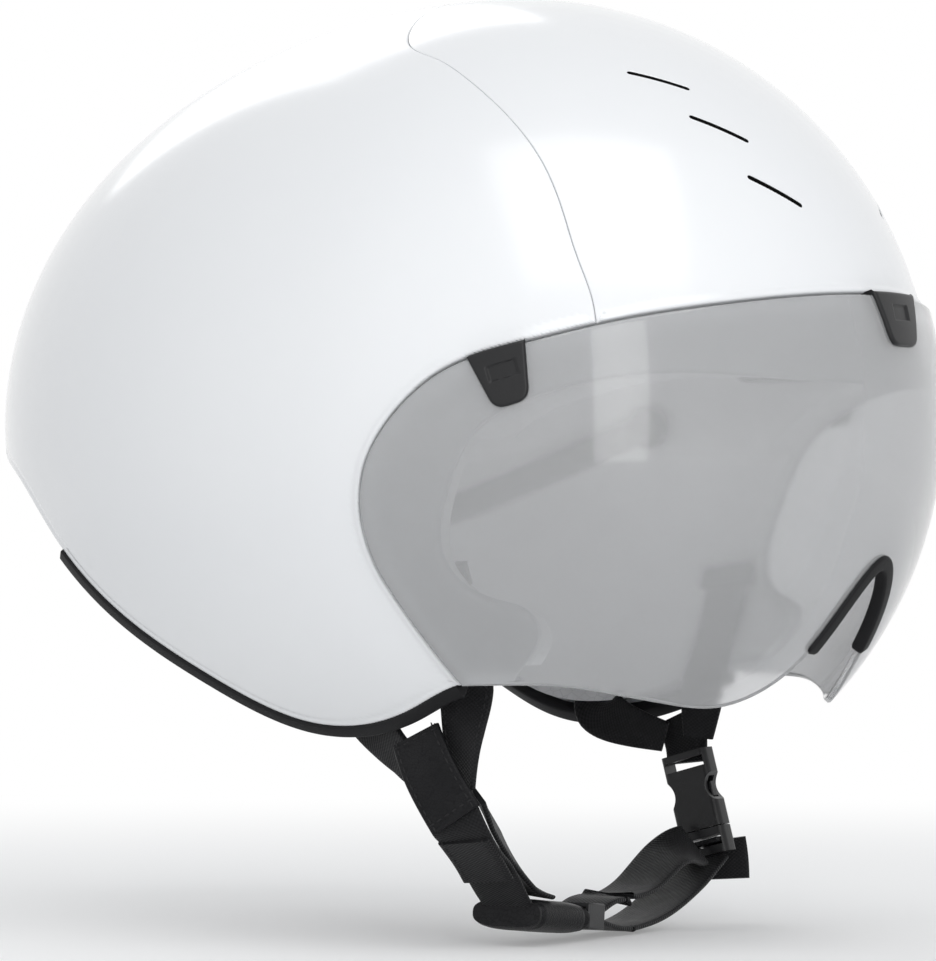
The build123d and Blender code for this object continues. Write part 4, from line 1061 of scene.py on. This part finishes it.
for name, side in (("left", 1), ("right", -1)):
    band = smooth_copy("flex_band_" + name, "head_band_" + name, crease=50)
    belongs(band, nylon_black, None, "black_plastic", "head_band_" + name)
    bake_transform(band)

bow_middle, bow_radius, bow_level = 0.00383, 0.09417, -0.143
wing_middle, wing_half_width, wing_half_height, wing_share = 0.0252, 0.0200, 0.0110, 0.62


def wing_place(side):
    """Where a pad lies on one wing of the bow, for its cushion."""
    def place(u, v, depth):
        x = side * (wing_middle + u * wing_half_width)
        radius = bow_radius - 0.0005 - (pad_back - depth) * wing_share
        return x, bow_middle + math.sqrt(radius ** 2 - x ** 2), bow_level + v * wing_half_height
    return place


for name, side in (("left", 1), ("right", -1)):
    wing_pad = cushion("cradle_cushion_" + name, wing_place(side), 32, 20)
    belongs(wing_pad, pad_knit, "cradle", "pad", "cradle_pad_" + name)


# The harness: flat woven straps with a leather-like finish. Two legs a side come out of the
# liner on moulded anchor plates and meet below the ear; a stitched patch joins them on the right.
strap_width, strap_wall, patch_wall = 0.017, 0.0016, 0.0018
front_leg = (
    (0.765, -0.209, 0.413, 13, 1.0), (0.704, -0.209, 0.529, 13, 1.0), (0.63, -0.209, 0.645, 10, 1.0),
    (0.634, -0.205, 0.75, -10, 0.9), (0.618, -0.202, 0.872, -25, 0.55),
)
rear_leg = (
    (0.841, 0.078, 0.455, -3, 1.0), (0.758, 0.078, 0.595, -3, 1.0), (0.598, 0.062, 0.72, -20, 1.0),
    (0.616, -0.03, 0.8, -40, 0.8), (0.624, -0.108, 0.86, -8, 0.55),
)
left_front_leg = front_leg[:3] + ((0.63, -0.19, 0.79, -20, 0.55),)
left_rear_leg = rear_leg[:3] + ((0.63, -0.1, 0.79, -20, 0.55),)
patch_route = (
    (0.662, -0.097, 0.752, 4, 0.95), (0.67, -0.132, 0.826, 4, 1.0), (0.6525, -0.198, 0.948, 8, 1.0),
)
right_outer_route = (
    (0.636, -0.165, 0.9, 0, 1.0), (0.632, -0.186, 0.955, 4, 1.0), (0.5, -0.186, 1.05, 4, 1.0),
    (0.4, -0.186, 1.14, 0, 1.0), (0.34, -0.186, 1.182, 0, 1.0), (0.13, -0.186, 1.203, 0, 1.0),
)
right_inner_route = (
    (0.594, -0.215, 0.885, -30, 0.75), (0.53, -0.21, 0.94, -38, 0.8), (0.42, -0.2, 1.02, -35, 0.8),
    (0.31, -0.19, 1.1, -20, 0.9), (0.26, -0.186, 1.138, 0, 0.95),
)
right_end_route = (
    (0.606, -0.19, 0.998, 4, 0.95), (0.514, -0.19, 1.066, 4, 0.95), (0.483, -0.19, 1.095, 4, 0.95),
)
webbing_route = ((0.652, -0.12, 0.735, 0, 1.0), (0.66, -0.14, 0.79, 0, 0.9), (0.648, -0.15, 0.855, 0, 0.8))
left_outer_route = (
    (-0.13, -0.186, 1.203, 0, 1.0), (-0.04, -0.186, 1.212, 0, 1.0), (0.08, -0.186, 1.237, 0, 1.0),
    (0.2, -0.186, 1.24, 0, 1.0), (0.37, -0.186, 1.211, 0, 1.0), (0.53, -0.19, 1.149, 0, 1.0),
    (0.66, -0.2, 1.08, 0, 0.9),
)
left_inner_route = (
    (-0.12, -0.186, 1.186, 0, 1.0), (-0.04, -0.186, 1.194, 0, 1.0), (0.05, -0.186, 1.172, 0, 1.0),
    (0.15, -0.186, 1.168, 0, 1.0), (0.31, -0.186, 1.14, 0, 1.0), (0.45, -0.19, 1.08, 0, 1.0),
    (0.58, -0.2, 1.06, 0, 0.9),
)
left_end_route = (
    (0.725, -0.215, 1.05, -20, 0.8), (0.73, -0.22, 1.1, -20, 0.8), (0.725, -0.225, 1.15, -20, 0.8),
)


def woven(name, dark, light, pitch):
    """Tight webbing: ribs across the strap, broken by the warp, along its own length and width."""
    add, shades, dress = material(name)
    split = add("SeparateXYZ", {"Vector": add("UVMap", uv_map="strap").outputs["UV"]})
    waves = []
    for way, length in (("Y", pitch), ("X", pitch * 1.25)):
        turn = add("Math", {0: split.outputs[way], 1: 2 * math.pi / length}, operation="MULTIPLY")
        waves.append(add("Math", {0: turn}, operation="SINE"))
    weave = add("Math", {0: waves[0], 1: waves[1]}, operation="MULTIPLY")
    cloud = add("TexNoise", {"Vector": add("TexCoord").outputs["Object"], "Scale": 260.0, "Detail": 4.0})
    height = add("Math", {0: weave, 1: cloud.outputs["Fac"]}, operation="ADD")
    tone = add("MapRange", {"Value": height, "From Min": -0.8, "From Max": 1.7})
    rough = add("MapRange", {"Value": cloud.outputs["Fac"], "To Min": 0.38, "To Max": 0.62})
    relief = add("Bump", {"Height": height, "Strength": 0.4, "Distance": 0.00018})
    return dress(Base_Color=shades(tone, dark, light), Roughness=rough,
                 Normal=relief, Sheen_Weight=0.08, Specular_IOR_Level=0.13)


def grained(name, dark, light, size):
    """Leather-like sheet: small flat cells with creases between them."""
    add, shades, dress = material(name)
    place = add("TexCoord").outputs["Object"]
    cells = add("TexVoronoi", {"Vector": place, "Scale": 1.0 / size, "Randomness": 0.9},
                feature="DISTANCE_TO_EDGE")
    crease = add("MapRange", {"Value": cells.outputs["Distance"], "From Max": 0.12})
    cloud = add("TexNoise", {"Vector": place, "Scale": 120.0, "Detail": 4.0})
    tone = add("Math", {0: crease, 1: cloud.outputs["Fac"]}, operation="MULTIPLY")
    rough = add("MapRange", {"Value": cloud.outputs["Fac"], "To Min": 0.32, "To Max": 0.5})
    relief = add("Bump", {"Height": crease, "Strength": 0.3, "Distance": 0.0002})
    return dress(Base_Color=shades(tone, dark, light), Roughness=rough,
                 Normal=relief, Specular_IOR_Level=0.13)


def strap_spot(spot, side):
    """Place of one station of a strap, from its shares of the egg."""
    return Vector((side * spot[0] * egg_half_width, spot[1] * egg_front, -spot[2] * egg_down + egg_level))


def strap(name, route, side, wall=strap_wall, step=0.0012):
    """A flat strap drawn smoothly through its stations, with soft edges and a map along and across it."""
    spots = np.array([tuple(strap_spot(spot, side)) for spot in route])
    gaps = run_along(spots)
    count = max(int(gaps[-1] / step), 8)
    line = flow(spots, count=count)
    reads = np.linspace(0, gaps[-1], count)
    turns = np.radians(np.interp(reads, gaps, [spot[3] for spot in route]))
    widths = strap_width * np.interp(reads, gaps, [spot[4] for spot in route])
    along = unit(np.gradient(line, axis=0))
    facing = np.column_stack((side * np.cos(turns), -np.sin(turns), np.zeros(count)))
    facing = unit(facing - along * np.einsum("ij,ij->i", facing, along)[:, None])
    across = np.cross(along, facing)
    half = wall / 2
    section = []
    for x_side in (1, -1):
        turns_round = np.linspace(-math.pi / 2, math.pi / 2, 7) + (0 if x_side > 0 else math.pi)
        section += [(x_side, half * math.cos(t), half * math.sin(t)) for t in turns_round]
        section += [(x_side * (1 - k / 4), 0.0, half * x_side) for k in range(1, 8)]
    points, spread = [], []
    run = run_along(line)
    for i in range(count):
        for x_side, out_x, out_y in section:
            sideways = x_side * (widths[i] / 2 - half) + out_x
            points.append(line[i] + across[i] * sideways + facing[i] * out_y)
            spread.append((sideways, run[i]))
    mesh = mesh_of(name, points, tube(count, len(section)))
    layout = mesh.uv_layers.new(name="strap")
    where = np.array(spread)[[loop.vertex_index for loop in mesh.loops]]
    layout.data.foreach_set("uv", where.astype(np.float32).ravel())
    return placed(name, mesh, 45, turned=True), line, across, facing, widths


strap_weave = woven("strap_weave", black(0.004), black(0.015), 0.0011)
patch_grain = grained("patch_grain", black(0.005), black(0.017), 0.0009)
thread_black = moulded("thread", black(0.011), black(0.022), (0.5, 0.7), 3000.0, 0.2, specular=0.2)

# Stitches: short thread loops set at an even pitch along the strap's edges.
stitch_sizes = (("Pitch", 0.0026), ("Length", 0.0018), ("Thickness", 0.00026))
stitch_tree = bpy.data.node_groups.new("stitch_row", "GeometryNodeTree")
for way in ("INPUT", "OUTPUT"):
    stitch_tree.interface.new_socket("Geometry", in_out=way, socket_type="NodeSocketGeometry")
stitch_keys = {
    label: stitch_tree.interface.new_socket(label, in_out="INPUT", socket_type="NodeSocketFloat").identifier
    for label, _ in stitch_sizes
}
stitch_in = put(stitch_tree, "NodeGroupInput").outputs
thickness = stitch_in["Thickness"]
stitch_line = put(stitch_tree, "GeometryNodeMeshToCurve", {"Mesh": stitch_in["Geometry"]})
stitch_even = put(stitch_tree, "GeometryNodeResampleCurve",
                  {"Curve": stitch_line.outputs["Curve"], "Length": stitch_in["Pitch"]}, mode="LENGTH")
stitch_shape = put(stitch_tree, "GeometryNodeMeshUVSphere", {"Segments": 8, "Rings": 6, "Radius": 1.0})
stitch_half = put(stitch_tree, "ShaderNodeMath", {0: stitch_in["Length"], 1: 0.5}, operation="MULTIPLY")
stitch_size = put(stitch_tree, "ShaderNodeCombineXYZ",
                  {"X": thickness, "Y": thickness, "Z": stitch_half})
stitch_way = put(stitch_tree, "GeometryNodeInputTangent")
stitch_turn = put(stitch_tree, "FunctionNodeAlignRotationToVector",
                  {"Vector": stitch_way.outputs["Tangent"]}, axis="Z")
stitch_row = put(stitch_tree, "GeometryNodeInstanceOnPoints", {
    "Points": stitch_even.outputs["Curve"], "Instance": stitch_shape.outputs["Mesh"],
    "Rotation": stitch_turn.outputs["Rotation"], "Scale": stitch_size,
}).outputs["Instances"]
for kind in ("RealizeInstances", "SetShadeSmooth", "SetMaterial"):
    stitch_step = put(stitch_tree, "GeometryNode" + kind, {"Geometry": stitch_row})
    stitch_row = stitch_step.outputs["Geometry"]
stitch_step.inputs["Material"].default_value = thread_black
put(stitch_tree, "NodeGroupOutput", {"Geometry": stitch_row})


def stitched(name, body, lines):
    """Rows of stitches along lines of points, as one plain mesh that moves with a body."""
    points, edges = [], []
    for line in lines:
        start = len(points)
        points += [tuple(p) for p in line]
        edges += [(start + i, start + i + 1) for i in range(len(line) - 1)]
    rail = shown(name + "_line", mesh_of(name + "_line", points, [], edges))
    sewing = rail.modifiers.new("stitches", "NODES")
    sewing.node_group = stitch_tree
    for label, value in stitch_sizes:
        sewing[stitch_keys[label]] = value
    seen = rail.evaluated_get(bpy.context.evaluated_depsgraph_get())
    sewn = bpy.data.meshes.new_from_object(seen)
    bpy.data.objects.remove(rail)
    row = shown(name, sewn)
    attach(row, body)


def stitch_rows(strip, first=0.0, last=1.0, inset=0.0017, ways=(1,), ends=False):
    """Lines for stitches along both edges of a strap, just above its face."""
    _, line, across, facing, widths = strip
    lift = (patch_wall if strip[0].name == "ear_patch" else strap_wall) / 2
    span = slice(int(first * (len(line) - 1)), int(last * (len(line) - 1)) + 1)
    rows = []
    for face in ways:
        for turn in (1, -1):
            rows.append(line[span] + across[span] * (widths[span, None] / 2 - inset) * turn
                        + facing[span] * face * lift)
        if ends:
            for at in (span.start + 1, span.stop - 2):
                reach = np.linspace(-1, 1, 9)[:, None] * (widths[at] / 2 - inset)
                rows.append(line[at] + across[at] * reach + facing[at] * face * lift)
    return rows


made = {}
for name, route, side, body, node in (
    ("front_leg_left", left_front_leg, 1, "helmet", "strap_front_left"),
    ("front_leg_right", front_leg, -1, "helmet", "strap_front_right"),
    ("rear_leg_left", left_rear_leg, 1, "helmet", "strap_rear_left"),
    ("rear_leg_right", rear_leg, -1, "helmet", "strap_rear_right"),
    ("chin_outer_right", right_outer_route, -1, "helmet", "chin_strap_right_outer"),
    ("chin_inner_right", right_inner_route, -1, "helmet", "chin_strap_right_inner"),
    ("strap_tail_right", right_end_route, -1, "helmet", "strap_end_right"),
    ("buckle_strap", webbing_route, 1, "helmet", "buckle_webbing"),
    ("chin_outer_left", left_outer_route, 1, None, "chin_strap_left_outer"),
    ("chin_inner_left", left_inner_route, 1, None, "chin_strap_left_inner"),
    ("strap_tail_left", left_end_route, 1, "latch", "strap_end_left"),
):
    made[name] = strap(name, route, side)
    belongs(made[name][0], strap_weave, body, "webbing", node)
made["ear_patch"] = strap("ear_patch", patch_route, -1, patch_wall)
belongs(made["ear_patch"][0], patch_grain, "helmet", "patch_leather", "strap_patch")
for name in ("chin_outer_left", "chin_inner_left"):
    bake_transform(made[name][0])
stitched("patch_stitches", "helmet", stitch_rows(made["ear_patch"], 0.03, 0.97, ways=(1, -1), ends=True))
stitched("tail_stitches", "helmet", stitch_rows(made["strap_tail_right"], 0.05, 0.95))
stitched("leg_stitches", "helmet", stitch_rows(made["front_leg_right"], 0.35, 0.8)
         + stitch_rows(made["front_leg_left"], 0.45, 0.95))
anchor_plates = smooth_copy("anchor_plates", "strap_anchors", bevel=0.0004)
belongs(anchor_plates, nylon_black, "helmet", "black_plastic", "strap_anchors")


# Under the chin: a soft leather-like sleeve sewn round the strap, and beside it a moulded nylon
# keeper that the strap's layers run through, so that they stay together.
chin_lean, chin_line = math.radians(6), -0.186


def chin_frame(x_share, z_share):
    """Where something sits on the strap under the chin, leaning with it."""
    middle = Vector((x_share * egg_half_width, chin_line * egg_front, egg_level - z_share * egg_down))
    return Matrix.Translation(middle) @ Matrix.Rotation(chin_lean, 4, "Y")


def sleeve(name, place, length, width, height, steps=28, around=40):
    """A padded tube round a strap, full in the middle and drawn in at its sewn ends."""
    points = []
    for i in range(steps + 1):
        t = -1 + 2 * i / steps
        full = 0.80 + 0.20 * (1 - t ** 6) ** 0.6
        groove = 1 - 0.05 * math.exp(-((abs(t) - 0.86) / 0.035) ** 2)
        for j in range(around):
            turn = 2 * math.pi * j / around
            c, s = math.cos(turn), math.sin(turn)
            y = math.copysign(abs(c) ** 0.55, c) * width / 2 * (0.965 + 0.035 * full) * groove
            z = math.copysign(abs(s) ** 0.75, s) * height / 2 * full * groove
            points.append(tuple(place @ Vector((t * length / 2, y, z))))
    return placed(name, mesh_of(name, points, tube(steps + 1, around)), 60, turned=True)


chin_leather = grained("chin_leather", black(0.006), black(0.02), 0.0012)
chin_sleeve = sleeve("chin_sleeve", chin_frame(-0.26, 1.19), 0.0278, 0.0228, 0.0092)
belongs(chin_sleeve, chin_leather, "helmet", "patch_leather", "chin_pad")
keeper = smooth_copy("keeper", "strap_keeper", bevel=0.0005)
belongs(keeper, nylon_black, "helmet", "black_plastic", "strap_keeper")


# The buckle: a side-release catch of black acetal on the wearer's left. Two springy prongs
# snap into the housing; pinched, they let the lower half drop out with the chin strap.
buckle_black = moulded("buckle_acetal", black(0.006), black(0.016), (0.25, 0.4), 1700.0, 0.12, specular=0.3)
for node, body, bevel in (
    ("buckle_housing", "helmet", 0.0005), ("buckle_latch", "latch", 0.0005),
    ("prong_front", "front_prong", 0.0003), ("prong_rear", "rear_prong", 0.0003),
):
    belongs(smooth_copy(node + "_fine", node, bevel=bevel), buckle_black, body, "black_plastic", node)
belongs(smooth_copy("strap_turn", "latch_loop", bevel=0.0004), patch_grain, "latch", "webbing", "latch_loop")
